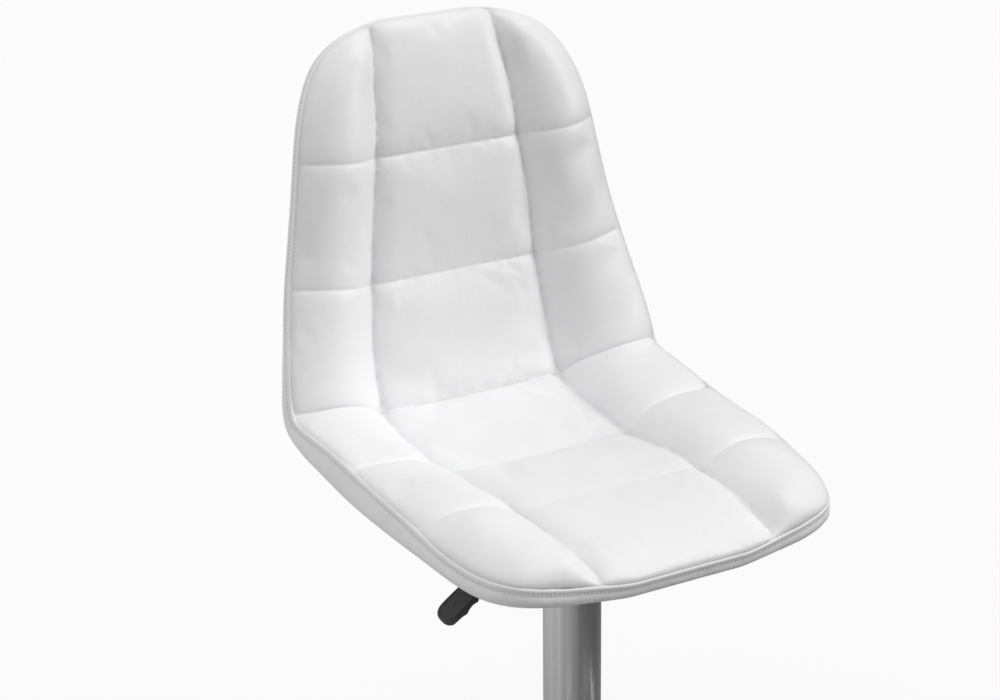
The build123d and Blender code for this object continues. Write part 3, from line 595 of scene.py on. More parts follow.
@dataclass
class QuiltedCover:
    """The sewn leather of seat and back: three columns by six rows of panels over foam."""

    layout: QuiltLayout = field(default_factory=QuiltLayout)
    puff: PuffProfile = field(default_factory=PuffProfile)
    cloth: LeatherCloth = field(default_factory=LeatherCloth)
    leather: float = 1.2
    crease_shade_fade: float = 2.2  # height over a seam at which its painted shade has faded
    tuck: float = 2.0  # how far the leather's edge is turned down behind the border band's lip

    def heights(self, flat: Points) -> Points:
        """Height of the leather above the seam level at each flat point.

        Args:
            flat: flat points.

        Returns:
            Heights in millimetres.
        """
        form, puff = self.layout.form, self.puff
        places = form.seating(flat)
        mirror = np.array([1, -1])
        both = (mirror, np.ones(2))
        uprights = [form.seating(line * side) for line in self.layout.upright() for side in both]
        to_upright = nearest_distance(places, uprights)
        outline = form.edge_line()
        to_edge = nearest_distance(places, [form.seating(outline), form.seating(outline * mirror)])
        upright = np.concatenate(self.layout.upright())
        width = np.interp(flat[:, 0], upright[:, 0], upright[:, 1])
        outside = np.abs(flat[:, 1]) > width
        fall = to_upright / np.maximum(to_upright + to_edge, 1)
        middle = puff.middle_height * quarter_round(to_upright, puff.middle_reach)
        crown = np.interp(flat[:, 0], puff.side_places, puff.crown_powers)
        fullness = np.interp(flat[:, 0], puff.side_places, puff.fullness_powers)
        side = puff.side_height * np.sin(np.pi * fall**crown).clip(0) ** fullness * self.roll_share(flat)
        side = side * smooth_step(0, puff.junction_reach, to_upright + to_edge)
        reach = np.where(flat[:, 0] < puff.front_zone, puff.front_reach, puff.edge_reach)
        middle = middle * quarter_round(to_edge, reach)
        height = np.where(outside, side, middle)
        for seam, line in zip(self.layout.seams, self.layout.side_seams()):
            inner = np.array([[line[0, 0], x] for x in np.linspace(-line[0, 1], line[0, 1], 90)])
            parts = [form.seating(part) for part in (inner, line, line * mirror)]
            distance = nearest_distance(places, parts)
            depth = np.where(outside, seam.side_depth, seam.middle_depth)
            ease = quarter_round(distance, seam.reach)
            height = np.maximum(height - depth * (1 - ease), 0)
        return height

    def roll_share(self, flat: Points) -> Points:
        """How full the side rolls are along the bucket, a little lower on the seat and at both ends."""
        span = self.layout.form.knots()[-1]
        places = np.array([*self.puff.roll_places, span - self.puff.top_zone, span])
        return np.interp(flat[:, 0], places, self.puff.roll_shares)

    def build(self) -> bpy.types.Object:
        """Make the cover.

        Returns:
            The finished piece.
        """
        grid = QuiltGrid(self.layout)
        flat = grid.build()
        rows, columns = flat.shape[0] - 1, flat.shape[1] - 1
        flat = flat.reshape(-1, 2)
        form = self.layout.form
        normals = form.normals(flat)
        height = self.heights(flat)
        uneven = gentle_noise(form.seating(flat), self.puff.uneven_size, seed=1.3)
        height = height * (1 + self.puff.unevenness * uneven)
        rim = np.pad(np.zeros((rows - 1, columns - 1), dtype=bool), 1, constant_values=True).ravel()
        tuck = np.where(rim, self.tuck, 0.0)
        places = form.seating(flat) + normals * (height - tuck)[:, None]
        piece = grid_piece("quilted_seat_cover", rows, columns, places.reshape(rows + 1, columns + 1, 3))
        sewn = self.sewn_points(grid, rows, columns)
        self.cloth.settle(piece, sewn)
        # Painted shade: a mask that is one at seam level and fades with height over it greys the leather in
        # the valleys.
        near = np.exp(-height / self.crease_shade_fade)
        paint = piece.data.attributes.new("crease", "FLOAT", "POINT")
        paint.data.foreach_set("value", np.clip(near, 0, 1).astype(np.float32))
        thicken(piece, self.leather)
        subdivide(piece)
        return piece

    def sewn_points(self, grid: QuiltGrid, rows: int, columns: int) -> Points:
        """Numbers of the grid points that a seam holds down."""
        held = np.zeros((rows + 1, columns + 1), dtype=bool)
        held[[0, -1], :] = True
        held[:, [0, -1]] = True
        held[grid.seam_rows(), :] = True
        held[:, grid.seam_columns()] = True
        return np.flatnonzero(held.ravel())


def grid_piece(name: str, rows: int, columns: int, places: Points) -> bpy.types.Object:
    """Make a sheet from a grid primitive whose points are moved to given places.

    Args:
        name: name of the piece.
        rows, columns: number of faces each way.
        places: place of every grid point in millimetres.

    Returns:
        The new sheet, in metres.
    """
    deselect_all()
    bpy.ops.mesh.primitive_grid_add(x_subdivisions=columns, y_subdivisions=rows, size=2)
    piece = bpy.context.object
    piece.name = piece.data.name = name
    start = np.zeros(len(piece.data.vertices) * 3)
    piece.data.vertices.foreach_get("co", start)
    start = start.reshape(-1, 3)
    column = np.rint((start[:, 0] + 1) / 2 * columns).astype(int)
    row = np.rint((start[:, 1] + 1) / 2 * rows).astype(int)
    piece.data.vertices.foreach_set("co", (places[row, column] * MM).ravel())
    piece.data.update()
    bpy.ops.object.shade_smooth()
    return piece


def read_points(mesh: bpy.types.Mesh) -> Points:
    """The places of a mesh's points."""
    flat = np.zeros(len(mesh.vertices) * 3)
    mesh.vertices.foreach_get("co", flat)
    return flat.reshape(-1, 3)


def apply_modifier(piece: bpy.types.Object, kind: str, **settings: object) -> None:
    """Add a modifier with its settings and apply it."""
    make_active(piece)
    modifier = piece.modifiers.new(kind.lower(), kind)
    for name, setting in settings.items():
        setattr(modifier, name, setting)
    bpy.ops.object.modifier_apply(modifier=modifier.name)


def thicken(piece: bpy.types.Object, wall: float) -> None:
    """Give a sheet a wall on the side away from its normals."""
    apply_modifier(piece, "SOLIDIFY", thickness=wall * MM, offset=-1.0, use_even_offset=False)


def subdivide(piece: bpy.types.Object) -> None:
    """Round a piece with one level of subdivision."""
    apply_modifier(piece, "SUBSURF", levels=1, render_levels=1)


@dataclass
class EdgeFrames:
    """Places and directions along the bucket's whole outline."""

    form: BucketForm
    count: int = 520
    step: int = 3  # neighbours each way over which the edge's direction is taken
    reach: int = 6  # neighbours each way over which the inward direction and the depth are evened out

    def __post_init__(self) -> None:
        """Work out the outline, clockwise as the sitter sees it from the front middle."""
        half = self.form.edge_line()
        whole = np.concatenate([half, (half * [1, -1])[::-1][1:-1]])
        space = self.form.seating(whole)
        loop = np.concatenate([space, space[:1]])
        length = np.concatenate([[0], np.cumsum(np.linalg.norm(np.diff(loop, axis=0), axis=1))])
        self.length = float(length[-1])
        self.travelled = np.linspace(0, self.length, self.count, endpoint=False)
        closed = np.concatenate([whole, whole[:1]])
        self.flat = np.stack([np.interp(self.travelled, length, closed[:, k]) for k in (0, 1)], axis=1)
        self.places = np.stack([np.interp(self.travelled, length, loop[:, k]) for k in range(3)], axis=1)
        along = unit(np.roll(self.places, -self.step, axis=0) - np.roll(self.places, self.step, axis=0))
        away = unit(self.smoothed(self.form.away(self.flat[:, 0]), self.reach))
        self.away = unit(away - along * (away * along).sum(axis=1, keepdims=True))
        self.outward = unit(self.smoothed(np.cross(self.away, along), self.step))
        middle = self.places.mean(axis=0)
        if ((self.places - middle) * self.outward).sum() < 0:
            self.outward = -self.outward
        self.depth = self.smoothed(self.form.depths(self.flat)[:, None], self.reach)[:, 0]

    def smoothed(self, values: Points, reach: int) -> Points:
        """Average values with their neighbours round the loop."""
        return sum(np.roll(values, step, axis=0) for step in range(-reach, reach + 1)) / (2 * reach + 1)


@dataclass
class BorderBand:
    """The leather strip sewn round the bucket's edge, with its lip, groove and turned-under hem."""

    form: BucketForm = field(default_factory=BucketForm)
    count: int = 560
    leather: float = 1.2
    bulge: float = 2.8
    thin_edge: float = 14.0  # depth of an edge whose band stays flat
    thick_edge: float = 26.0  # depth of an edge whose band bulges fully
    body_rings: int = 9
    body_out: float = 1.6  # how far the band lies outside the bucket's edge
    body_end: float = 2.0  # how far above the edge's lower side the band's body ends
    slack: float = 0.4
    slack_size: float = 34.0
    pucker_height: float = 0.9
    pucker_pitch: float = 8.5
    pucker_fade: float = 3.5  # how quickly the puckers die away under the seam
    corner_place: float = -150.0  # y at which the band is gathered most
    corner_spread: float = 55.0
    corner_sides: tuple[float, float] = (90.0, 160.0)  # x between which the gathering sets in
    topstitch: tuple[float, float] = (6.2, 1.6)  # down and outwards from the edge
    # Millimetres down and outwards, from behind the cover's edge to below the topstitch.
    seam_profile: tuple[tuple[float, float], ...] = (
        (1.1, -2.6),
        (0.4, -1.1),
        (0.1, -0.2),
        (0.5, 0.7),
        (1.3, 1.4),
        (2.8, 1.8),
        (4.6, 1.7),
        (6.2, 1.2),
        (7.6, 1.7),
    )
    # The same from the edge's lower side, round to the back.
    hem_profile: tuple[tuple[float, float], ...] = (
        (-0.4, 1.4),
        (0.9, 0.5),
        (1.5, -1.2),
        (1.4, -3.2),
        (0.4, -4.4),
    )

    def puckers(self, travelled: Points, places: Points) -> Points:
        """How strongly the band is gathered at each place round the edge, with its sign."""
        corner = np.exp(-(((places[:, 1] - self.corner_place) / self.corner_spread) ** 2))
        corner = corner * smooth_step(*self.corner_sides, np.abs(places[:, 0]))
        drift = 2.4 * gentle_noise(places, 60.0, seed=0.4)
        wave = np.sin(travelled * 2 * np.pi / self.pucker_pitch + drift) * corner
        return wave * np.clip(0.5 + gentle_noise(places, 25.0, seed=3.3), 0, 1)

    def profile(self, depth: Points, travelled: Points, places: Points) -> Points:
        """Outward offset and depth of each ring, at every place round the edge.

        Args:
            depth: depth of the bucket's edge at each place.
            travelled: distance round the edge of each place.
            places: the places themselves.

        Returns:
            Array of rings by places by (down, out).
        """
        level = np.ones(len(depth))
        rings = [np.stack([level * down, level * out], axis=1) for down, out in self.seam_profile]
        start = self.seam_profile[-1][0]
        slack = gentle_noise(places, self.slack_size, seed=2.1)
        seat = smooth_step(self.thin_edge, self.thick_edge, depth)
        gather = self.puckers(travelled, places)
        for share in np.linspace(0.12, 1.0, self.body_rings):
            down = start + (depth - self.body_end - start) * share
            body = np.sin(np.pi * np.clip(share * 0.94, 0, 1)) ** 0.8
            out = self.body_out + self.bulge * body * (0.08 + 0.92 * seat)
            pleat = self.pucker_height * gather * math.exp(-share * self.pucker_fade)
            rings.append(np.stack([down, out + pleat + self.slack * slack * body], axis=1))
        for down, out in self.hem_profile:
            rings.append(np.stack([depth + down, level * out], axis=1))
        return np.array(rings)

    def build(self) -> bpy.types.Object:
        """Make the band.

        Returns:
            The finished piece.
        """
        edge = EdgeFrames(self.form, self.count)
        rings = self.profile(edge.depth, edge.travelled, edge.places)
        places = np.array([edge.places + edge.away * r[:, :1] + edge.outward * r[:, 1:] for r in rings])
        piece = loop_piece("seat_border_band", places)
        # Painted shade: the rings in the groove under the lip and in the turned-under hem are marked to be
        # greyed.
        paint = piece.data.attributes.new("crease", "FLOAT", "POINT")
        crease = np.zeros(places.shape[:2])
        crease[:3] = 0.6
        crease[-2:] = 0.7
        paint.data.foreach_set("value", crease.astype(np.float32).ravel())
        thicken(piece, self.leather)
        subdivide(piece)
        return piece


def loop_piece(name: str, rings: Points) -> bpy.types.Object:
    """Make a closed band from rings of points, each joined to the next, facing outwards.

    Args:
        name: name of the piece.
        rings: rings by points by coordinates, in millimetres.

    Returns:
        The new band, in metres.
    """
    count, around = rings.shape[:2]
    index = np.arange(count * around).reshape(count, around)
    low, high = index[:-1], index[1:]
    faces = np.stack([low, np.roll(low, -1, axis=1), np.roll(high, -1, axis=1), high], axis=2).reshape(-1, 4)
    mesh = bpy.data.meshes.new(name)
    mesh.from_pydata((rings.reshape(-1, 3) * MM).tolist(), [], faces.tolist())
    piece = bpy.data.objects.new(name, mesh)
    bpy.context.scene.collection.objects.link(piece)
    mesh.update()
    middle = Vector(rings.reshape(-1, 3).mean(axis=0) * MM)
    facing = sum((Vector(face.center) - middle).dot(face.normal) * face.area for face in mesh.polygons)
    if facing < 0:
        mesh.flip_normals()
    make_active(piece)
    bpy.ops.object.shade_smooth()
    return piece


@dataclass
class RearCover:
    """Smooth leather over the underside and the back of the backrest."""

    layout: QuiltLayout = field(default_factory=QuiltLayout)
    swell: float = 1.6
    rim: float = 4.2  # flat strip along the edge, behind the band's hem
    rim_reach: float = 18.0
    unevenness: float = 0.35
    leather: float = 1.2
    stand_off: float = 0.1
    plate_half_width: float = 92.0
    plate_half_length: float = 112.0
    plate_ease: float = 34.0  # distance from the plate over which the swelling sets in
    plate_margin: float = 6.0
    underside: float = SEAT_LEVEL - 37.85  # level that the leather over the plate doesn't go below

    def beyond_plate(self, places: Points) -> Points:
        """How far each place lies outside the mounting plate's outline, negative over the plate."""
        sideways = np.abs(places[:, 0]) - self.plate_half_width
        lengthways = np.abs(places[:, 1]) - self.plate_half_length
        return np.maximum(sideways, lengthways)

    def build(self) -> bpy.types.Object:
        """Make the cover.

        Returns:
            The finished piece.
        """
        form = self.layout.form
        flat = QuiltGrid(self.layout).build()
        rows, columns = flat.shape[0] - 1, flat.shape[1] - 1
        flat = flat.reshape(-1, 2)
        outline = form.edge_line()
        surface = form.seating(flat)
        to_edge = nearest_distance(surface, [form.seating(outline), form.seating(outline * [1, -1])])
        away = form.away(flat[:, 0])
        places = surface + away * (form.depths(flat) + self.stand_off)[:, None]
        outward = -form.normals(flat)
        flat_zone = smooth_step(0, self.plate_ease, self.beyond_plate(places))
        under = places[:, 2] < SEAT_LEVEL
        ease = np.where(under, flat_zone, 1.0)
        lift = self.swell * quarter_round(np.maximum(to_edge - self.rim, 0), self.rim_reach) * ease
        uneven = gentle_noise(places, 120.0, seed=0.7) * smooth_step(5, 40, to_edge)
        places = places + outward * (lift + self.unevenness * uneven * ease)[:, None]
        sits = self.beyond_plate(places) < self.plate_margin
        places[:, 2] = np.where(sits, np.maximum(places[:, 2], self.underside), places[:, 2])
        piece = grid_piece("seat_rear_cover", rows, columns, places.reshape(rows + 1, columns + 1, 3))
        piece.data.flip_normals()
        # Painted shade: the cover is greyed along its edge, where it runs in behind the band's hem.
        paint = piece.data.attributes.new("crease", "FLOAT", "POINT")
        paint.data.foreach_set("value", np.exp(-to_edge / 2.0).astype(np.float32))
        thicken(piece, self.leather)
        subdivide(piece)
        return piece


@dataclass
class Stitches:
    """Rows of thread stitches that lie on the leather."""

    pitch: float = 4.2
    length: float = 3.0
    radius: float = 0.62
    sink: float = 0.12
    bow: float = 0.64  # how far the ends dip into the leather, as a share of the radius

    def one(self) -> tuple[Points, list[list[int]]]:
        """Model one stitch along x as a short rounded bar.

        Returns:
            Its points in millimetres and its faces.
        """
        deselect_all()
        quarter_turn = (0, math.pi / 2, 0)
        bpy.ops.mesh.primitive_uv_sphere_add(
            segments=6, ring_count=4, radius=self.radius, rotation=quarter_turn
        )
        bar = bpy.context.object
        bpy.ops.object.transform_apply(rotation=True)
        points = read_points(bar.data)
        points[:, 0] += np.sign(np.round(points[:, 0], 4)) * (self.length / 2 - self.radius)
        points[:, 2] -= self.bow * self.radius * (np.abs(points[:, 0]) / (self.length / 2)) ** 2
        faces = [list(face.vertices) for face in bar.data.polygons]
        bpy.data.objects.remove(bar)
        return points, faces

    def build(self, name: str, lines: list[Points], leather: bpy.types.Object) -> bpy.types.Object:
        """Lay stitches along lines on a leather piece.

        Args:
            name: name of the piece.
            lines: lines in millimetres that run close to the leather.
            leather: piece that the stitches lie on.

        Returns:
            One piece that holds all the stitches.
        """
        mesh = leather.data
        tree = BVHTree.FromPolygons([v.co for v in mesh.vertices], [tuple(f.vertices) for f in mesh.polygons])
        shape, pattern = self.one()
        points, faces = [], []
        for line in lines:
            length = float(np.linalg.norm(np.diff(line, axis=0), axis=1).sum())
            spots = resample(line, max(2, round(length / self.pitch)))
            for start, end in zip(spots[:-1], spots[1:]):
                spot, normal, _, _ = tree.find_nearest(Vector((start + end) / 2 * MM))
                up = np.array(normal)
                along = unit(end - start)
                along = unit(along - up * (along @ up))
                turn = np.stack([along, np.cross(up, along), up], axis=1)
                base = len(points) * len(shape)
                points.append(shape @ turn.T + np.array(spot) / MM + up * (self.radius - self.sink))
                faces += [[corner + base for corner in face] for face in pattern]
        mesh = bpy.data.meshes.new(name)
        mesh.from_pydata((np.concatenate(points) * MM).tolist(), [], faces)
        piece = bpy.data.objects.new(name, mesh)
        bpy.context.scene.collection.objects.link(piece)
        make_active(piece)
        bpy.ops.object.shade_smooth()
        return piece


# ------------------------------------------------------------------ lever


@dataclass
class LeverPaddle:
    """The lift lever's moulded handle: a flat thumb face with a rim, scalloped underneath for the fingers."""

    heading: float = 8.0  # degrees forward of straight sideways
    droop: float = 31.0
    bend_reach: float = 80.0
    root_reach: float = 97.0
    axis_height: float = SEAT_LEVEL - 54.0
    length: float = 85.0
    tip_radius: float = 14.5
    root_share: float = 0.68  # width at the root as a share of the tip's
    scallops: int = 4
    scallop_depth: float = 3.2
    scallop_span: tuple[float, float] = (0.16, 0.94)  # shares of the length between which they lie
    around: int = 96
    # Each ring's distance inside the outline, height over the middle, and share of the scallops.
    rings: tuple[tuple[float, float, float], ...] = (
        (14.3, 5.1, 0), (9.0, 5.1, 0), (6.0, 5.1, 0), (4.2, 5.1, 0), (3.6, 5.15, 0), (3.2, 5.4, 0),
        (2.8, 5.8, 0), (2.3, 6.0, 0), (1.7, 6.0, 0), (1.1, 5.85, 0), (0.6, 5.45, 0), (0.25, 4.9, 0),
        (0.05, 4.1, 0), (0.0, 3.0, 0), (0.1, 1.5, 0.05), (0.3, 0.0, 0.12), (0.5, -1.5, 0.25),
        (0.7, -3.0, 0.5), (0.95, -4.2, 0.75), (1.4, -5.1, 0.9), (2.2, -5.7, 1), (3.2, -6.0, 1),
        (4.6, -6.0, 1), (6.5, -6.0, 1), (9.0, -6.0, 1), (14.3, -6.0, 1),
    )

    def axes(self) -> tuple[Points, Points]:
        """Root of the handle, and its outward, sideways and upward directions as rows."""
        heading, droop = math.radians(self.heading), math.radians(self.droop)
        out = np.array([-math.cos(heading), -math.sin(heading), 0])
        up = np.array([0, 0, 1.0])
        reach = self.root_reach - self.bend_reach
        distance = self.bend_reach + reach * math.cos(droop)
        root = out * distance + up * (self.axis_height - reach * math.sin(droop))
        along = out * math.cos(droop) - up * math.sin(droop)
        face = out * math.sin(droop) + up * math.cos(droop)
        return root, np.stack([along, np.cross(face, along), face])

    def outline(self) -> tuple[Points, Points]:
        """Points on the handle's middle line, and the direction outwards from each, once round its edge."""
        straight = self.length - 2 * self.tip_radius
        travelled = np.arange(self.around) / self.around * (2 * np.pi * self.tip_radius + 2 * straight)
        quarter = np.pi / 2 * self.tip_radius
        marks = np.cumsum([0, quarter, straight, 2 * quarter, straight, quarter])
        turn = np.interp(travelled, marks, np.radians([0, 90, 90, 270, 270, 360]))
        spine = np.interp(travelled, marks, [straight, straight, 0, 0, straight, straight]) + self.tip_radius
        return spine, np.stack([np.cos(turn), np.sin(turn)], axis=1)

    def scallop(self, along: Points) -> Points:
        """How far the underside is hollowed for the fingers at a distance from the root."""
        first, last = self.scallop_span
        share = np.clip((along / self.length - first) / (last - first), 0, 1)
        return self.scallop_depth * np.abs(np.sin(np.pi * self.scallops * share)) ** 0.7

    def build(self) -> bpy.types.Object:
        """Model the handle from a ball whose rings become the outline's insets.

        Returns:
            The finished piece.
        """
        deselect_all()
        bpy.ops.mesh.primitive_uv_sphere_add(segments=self.around, ring_count=len(self.rings) + 1, radius=1.0)
        paddle = bpy.context.object
        paddle.name = paddle.data.name = "lever_paddle"
        ball = read_points(paddle.data)
        poles = [(self.tip_radius, *self.rings[end][1:]) for end in (0, -1)]
        table = np.array([poles[0], *self.rings, poles[1]])
        fall = np.arccos(np.clip(ball[:, 2], -1, 1)) / np.pi
        ring = np.rint(fall * (len(self.rings) + 1)).astype(int)
        turn = np.arctan2(ball[:, 1], ball[:, 0]) / (2 * np.pi)
        place = np.rint(turn * self.around).astype(int) % self.around
        spine, outward = self.outline()
        inset, height, hollow = table[ring].T
        flat = outward[place] * (self.tip_radius - inset)[:, None]
        pole = (ring == 0) | (ring == len(table) - 1)
        along = np.where(pole, self.length / 2, spine[place] + flat[:, 0])
        taper = self.root_share + (1 - self.root_share) * smooth_step(0, 0.8, along / self.length)
        local = np.stack([along, flat[:, 1] * taper, height + hollow * self.scallop(along)], axis=1)
        root, axes = self.axes()
        paddle.data.vertices.foreach_set("co", ((root + local @ axes) * MM).ravel())
        paddle.data.update()
        make_active(paddle)
        bpy.ops.object.mode_set(mode="EDIT")
        bpy.ops.mesh.select_all(action="SELECT")
        bpy.ops.mesh.normals_make_consistent(inside=False)
        bpy.ops.object.mode_set(mode="OBJECT")
        subdivide(paddle)
        bpy.ops.object.shade_smooth()
        return paddle


# ------------------------------------------------------------------ finishes


class Pattern(Enum):
    """How a surface was worked, which decides its fine relief."""

    STREAKS_UP = "brushed along the column"
    STREAKS_ROUND = "turned or brushed round the upright axis"
    GRAIN = "embossed leather grain"
    SPECKLE = "powder coat or spark-eroded mould texture"
    MOTTLE = "cast, plated or cut surface"


@dataclass(frozen=True)
class Finish:
    """One real material and how its surface was made."""

    name: str
    light: str  # hex sRGB colour
    dark: str  # hex sRGB colour of its hollows, streaks or patches
    metallic: float
    roughness: float
    spread: float  # how much the roughness varies
    pattern: Pattern
    grain_mm: float
    relief_mm: float
    coat: float = 0.0
    sheen: float = 0.0
    ior: float = 1.5

    def coordinates(self, tree: bpy.types.NodeTree) -> bpy.types.NodeSocket:
        """Place in object space, stretched the way the surface was worked."""
        place = add_node(tree, "ShaderNodeTexCoord").outputs["Object"]
        per_metre = 1000 / self.grain_mm
        if self.pattern is Pattern.STREAKS_UP:
            scale = (per_metre, per_metre, per_metre / 600)
            return add_node(tree, "ShaderNodeMapping", {"Vector": place, "Scale": scale}).outputs[0]
        if self.pattern is Pattern.STREAKS_ROUND:
            split = add_node(tree, "ShaderNodeSeparateXYZ", {0: place})
            level = add_node(tree, "ShaderNodeCombineXYZ", {0: split.outputs[0], 1: split.outputs[1]})
            radius = add_node(tree, "ShaderNodeVectorMath", {0: level.outputs[0]}, operation="LENGTH")
            sides = {0: split.outputs[1], 1: split.outputs[0]}
            turn = add_node(tree, "ShaderNodeMath", sides, operation="ARCTAN2")
            part = add_node(tree, "ShaderNodeMath", {0: turn.outputs[0], 1: 0.012}, operation="MULTIPLY")
            rings = {0: radius.outputs["Value"], 1: part.outputs[0], 2: split.outputs[2]}
            joined = add_node(tree, "ShaderNodeCombineXYZ", rings)
            place = joined.outputs[0]
        return add_node(tree, "ShaderNodeMapping", {"Vector": place, "Scale": (per_metre,) * 3}).outputs[0]

    def relief(self, tree: bpy.types.NodeTree, place: bpy.types.NodeSocket) -> bpy.types.NodeSocket:
        """Fine height pattern of the surface."""
        if self.pattern is Pattern.GRAIN:
            cells = {"Vector": place, "Scale": 1.0, "Randomness": 0.9}
            pebble = add_node(tree, "ShaderNodeTexVoronoi", cells, feature="SMOOTH_F1").outputs["Distance"]
            soft = add_node(tree, "ShaderNodeTexNoise", {"Vector": place, "Scale": 0.16, "Detail": 3.0})
            mix = {0: pebble, 1: -0.6, 2: soft.outputs[0]}
            return add_node(tree, "ShaderNodeMath", mix, operation="MULTIPLY_ADD").outputs[0]
        detail = 6.0 if self.pattern in (Pattern.STREAKS_UP, Pattern.STREAKS_ROUND) else 3.0
        grain = {"Vector": place, "Scale": 1.0, "Detail": detail}
        return add_node(tree, "ShaderNodeTexNoise", grain).outputs[0]

    def build(self) -> bpy.types.Material:
        """Make the material.

        Returns:
            A procedural material named for the real one.
        """
        material = bpy.data.materials.new(self.name)
        material.use_nodes = True
        tree = material.node_tree
        shader = tree.nodes["Principled BSDF"]
        constants = {"Metallic": self.metallic, "Coat Weight": self.coat, "Coat Roughness": 0.12}
        constants |= {"Sheen Weight": self.sheen, "Sheen Roughness": 0.4}
        if not self.metallic:
            constants["IOR"] = self.ior
        for socket, value in constants.items():
            shader.inputs[socket].default_value = value
        place = self.coordinates(tree)
        height = self.relief(tree, place)
        if self.pattern is Pattern.STREAKS_UP:
            patches = {"Vector": place, "Scale": 0.17, "Detail": 2.0}
        else:
            whole = add_node(tree, "ShaderNodeTexCoord").outputs["Object"]
            patches = {"Vector": whole, "Scale": 14.0, "Detail": 4.0}
        broad = add_node(tree, "ShaderNodeTexNoise", patches).outputs[0]
        blend = {0: height, 1: 0.5, 2: broad}
        share = add_node(tree, "ShaderNodeMath", blend, operation="MULTIPLY_ADD").outputs[0]
        ramp = {"Value": share, "From Min": 0.45, "From Max": 1.05, "To Min": 0.0, "To Max": 1.0}
        level = add_node(tree, "ShaderNodeMapRange", ramp).outputs[0]
        colours = {0: level, 6: linear(self.dark), 7: linear(self.light)}
        colour = add_node(tree, "ShaderNodeMix", colours, data_type="RGBA").outputs[2]
        # Painted shade: the leather is greyed in its seam valleys, its band's groove and hem, and along the
        # rear cover's edge.
        if self.pattern is Pattern.GRAIN:
            colour = self.paint_crease_shade(tree, colour)
        tree.links.new(colour, shader.inputs["Base Color"])
        rough = {"Value": share, "From Min": 0.4, "From Max": 1.1}
        rough |= {"To Min": self.roughness + self.spread, "To Max": self.roughness - self.spread}
        tree.links.new(add_node(tree, "ShaderNodeMapRange", rough).outputs[0], shader.inputs["Roughness"])
        bump = {"Height": height, "Strength": 1.0, "Distance": self.relief_mm * MM}
        tree.links.new(add_node(tree, "ShaderNodeBump", bump).outputs[0], shader.inputs["Normal"])
        return material

    def paint_crease_shade(self, tree: bpy.types.NodeTree, colour: bpy.types.NodeSocket) -> bpy.types.NodeSocket:
        """Paint shade into the leather where a seam pulls it in: a grey that stands in for the shade in the
        valley.
        """
        crease = add_node(tree, "ShaderNodeAttribute", attribute_name="crease").outputs["Fac"]
        painted_shade = add_node(tree, "ShaderNodeMath", {0: crease, 1: 0.3}, operation="MULTIPLY").outputs[0]
        # A9A9AA is the painted shade's grey, mixed in up to 0.3 by the crease mask.
        mix = {0: painted_shade, 6: colour, 7: linear("#A9A9AA")}
        return add_node(tree, "ShaderNodeMix", mix, data_type="RGBA").outputs[2]


# PU-coated leathercloth: embossed pebble grain about 1 mm across, drawn at 1.5 mm to show; soft gloss.
LEATHER = Finish(
    "white_pu_leathercloth", "#F3F3F4", "#EEEEEF", 0, 0.44, 0.05, Pattern.GRAIN, 1.5, 0.16, sheen=0.05
)
# Bonded polyester thread: fine twist, a little brighter and glossier than the leather.
THREAD = Finish(
    "white_polyester_thread", "#F1F0EC", "#D9D7D1", 0, 0.5, 0.08, Pattern.SPECKLE, 0.3, 0.03, sheen=0.2
)
# Stainless tube, belt-brushed lengthwise with 180 grit: long streaks, broken highlights.
BRUSHED_TUBE = Finish(
    "brushed_stainless_tube", "#EAEAEB", "#C1C1C3", 1, 0.27, 0.1, Pattern.STREAKS_UP, 1.1, 0.02
)
# Stainless sheet, pressed and brushed on a turntable: rings round the axis.
SPUN_STEEL = Finish(
    "spun_brushed_stainless", "#CDCBC8", "#A5A3A0", 1, 0.27, 0.08, Pattern.STREAKS_ROUND, 0.7, 0.015
)
# Hard chrome on a ground tube: nearly a mirror, faint turning lines.
CHROME = Finish(
    "polished_chrome_plate", "#DCDDDF", "#C6C8CB", 1, 0.09, 0.03, Pattern.STREAKS_ROUND, 1.2, 0.004
)
# Zinc-plated steel: bluish white with cloudy patches.
ZINC = Finish("bright_zinc_plate", "#C4C8CB", "#A3A8AC", 1, 0.33, 0.08, Pattern.MOTTLE, 2.5, 0.02)
# Ground bearing steel: bright, very fine turning lines.
BEARING_STEEL = Finish(
    "ground_bearing_steel", "#CBCBCB", "#AFAFB0", 1, 0.16, 0.05, Pattern.STREAKS_ROUND, 0.5, 0.005
)
# Black polyester powder coat: low orange peel with fine speckle.
POWDER_COAT = Finish(
    "black_powder_coat", "#202022", "#151516", 0, 0.42, 0.06, Pattern.SPECKLE, 1.3, 0.05, coat=0.15
)
# Black gloss enamel on the gas spring's tube.
ENAMEL = Finish(
    "black_gloss_enamel", "#161617", "#0F0F10", 0, 0.2, 0.04, Pattern.SPECKLE, 3.0, 0.02, coat=0.5
)
# Glass-filled nylon, spark-eroded mould: matt, fine even texture.
NYLON = Finish(
    "textured_black_nylon", "#464647", "#343435", 0, 0.45, 0.06, Pattern.SPECKLE, 0.7, 0.06, ior=1.53
)
# Moulded polypropylene: waxy, slightly cloudy.
POLYPROPYLENE = Finish(
    "moulded_polypropylene", "#3A3A3B", "#2C2C2D", 0, 0.48, 0.06, Pattern.MOTTLE, 6.0, 0.04, ior=1.49
)
# Moulded black rubber: dull with a dusty bloom.
RUBBER = Finish(
    "moulded_black_rubber", "#2B2A29", "#1C1B1B", 0, 0.8, 0.08, Pattern.SPECKLE, 1.0, 0.08, ior=1.52
)
# Cast iron under thin black paint: sand-cast skin.
CAST_IRON = Finish(
    "painted_cast_iron", "#2F2F31", "#1E1E1F", 0, 0.6, 0.1, Pattern.MOTTLE, 2.2, 0.25
)
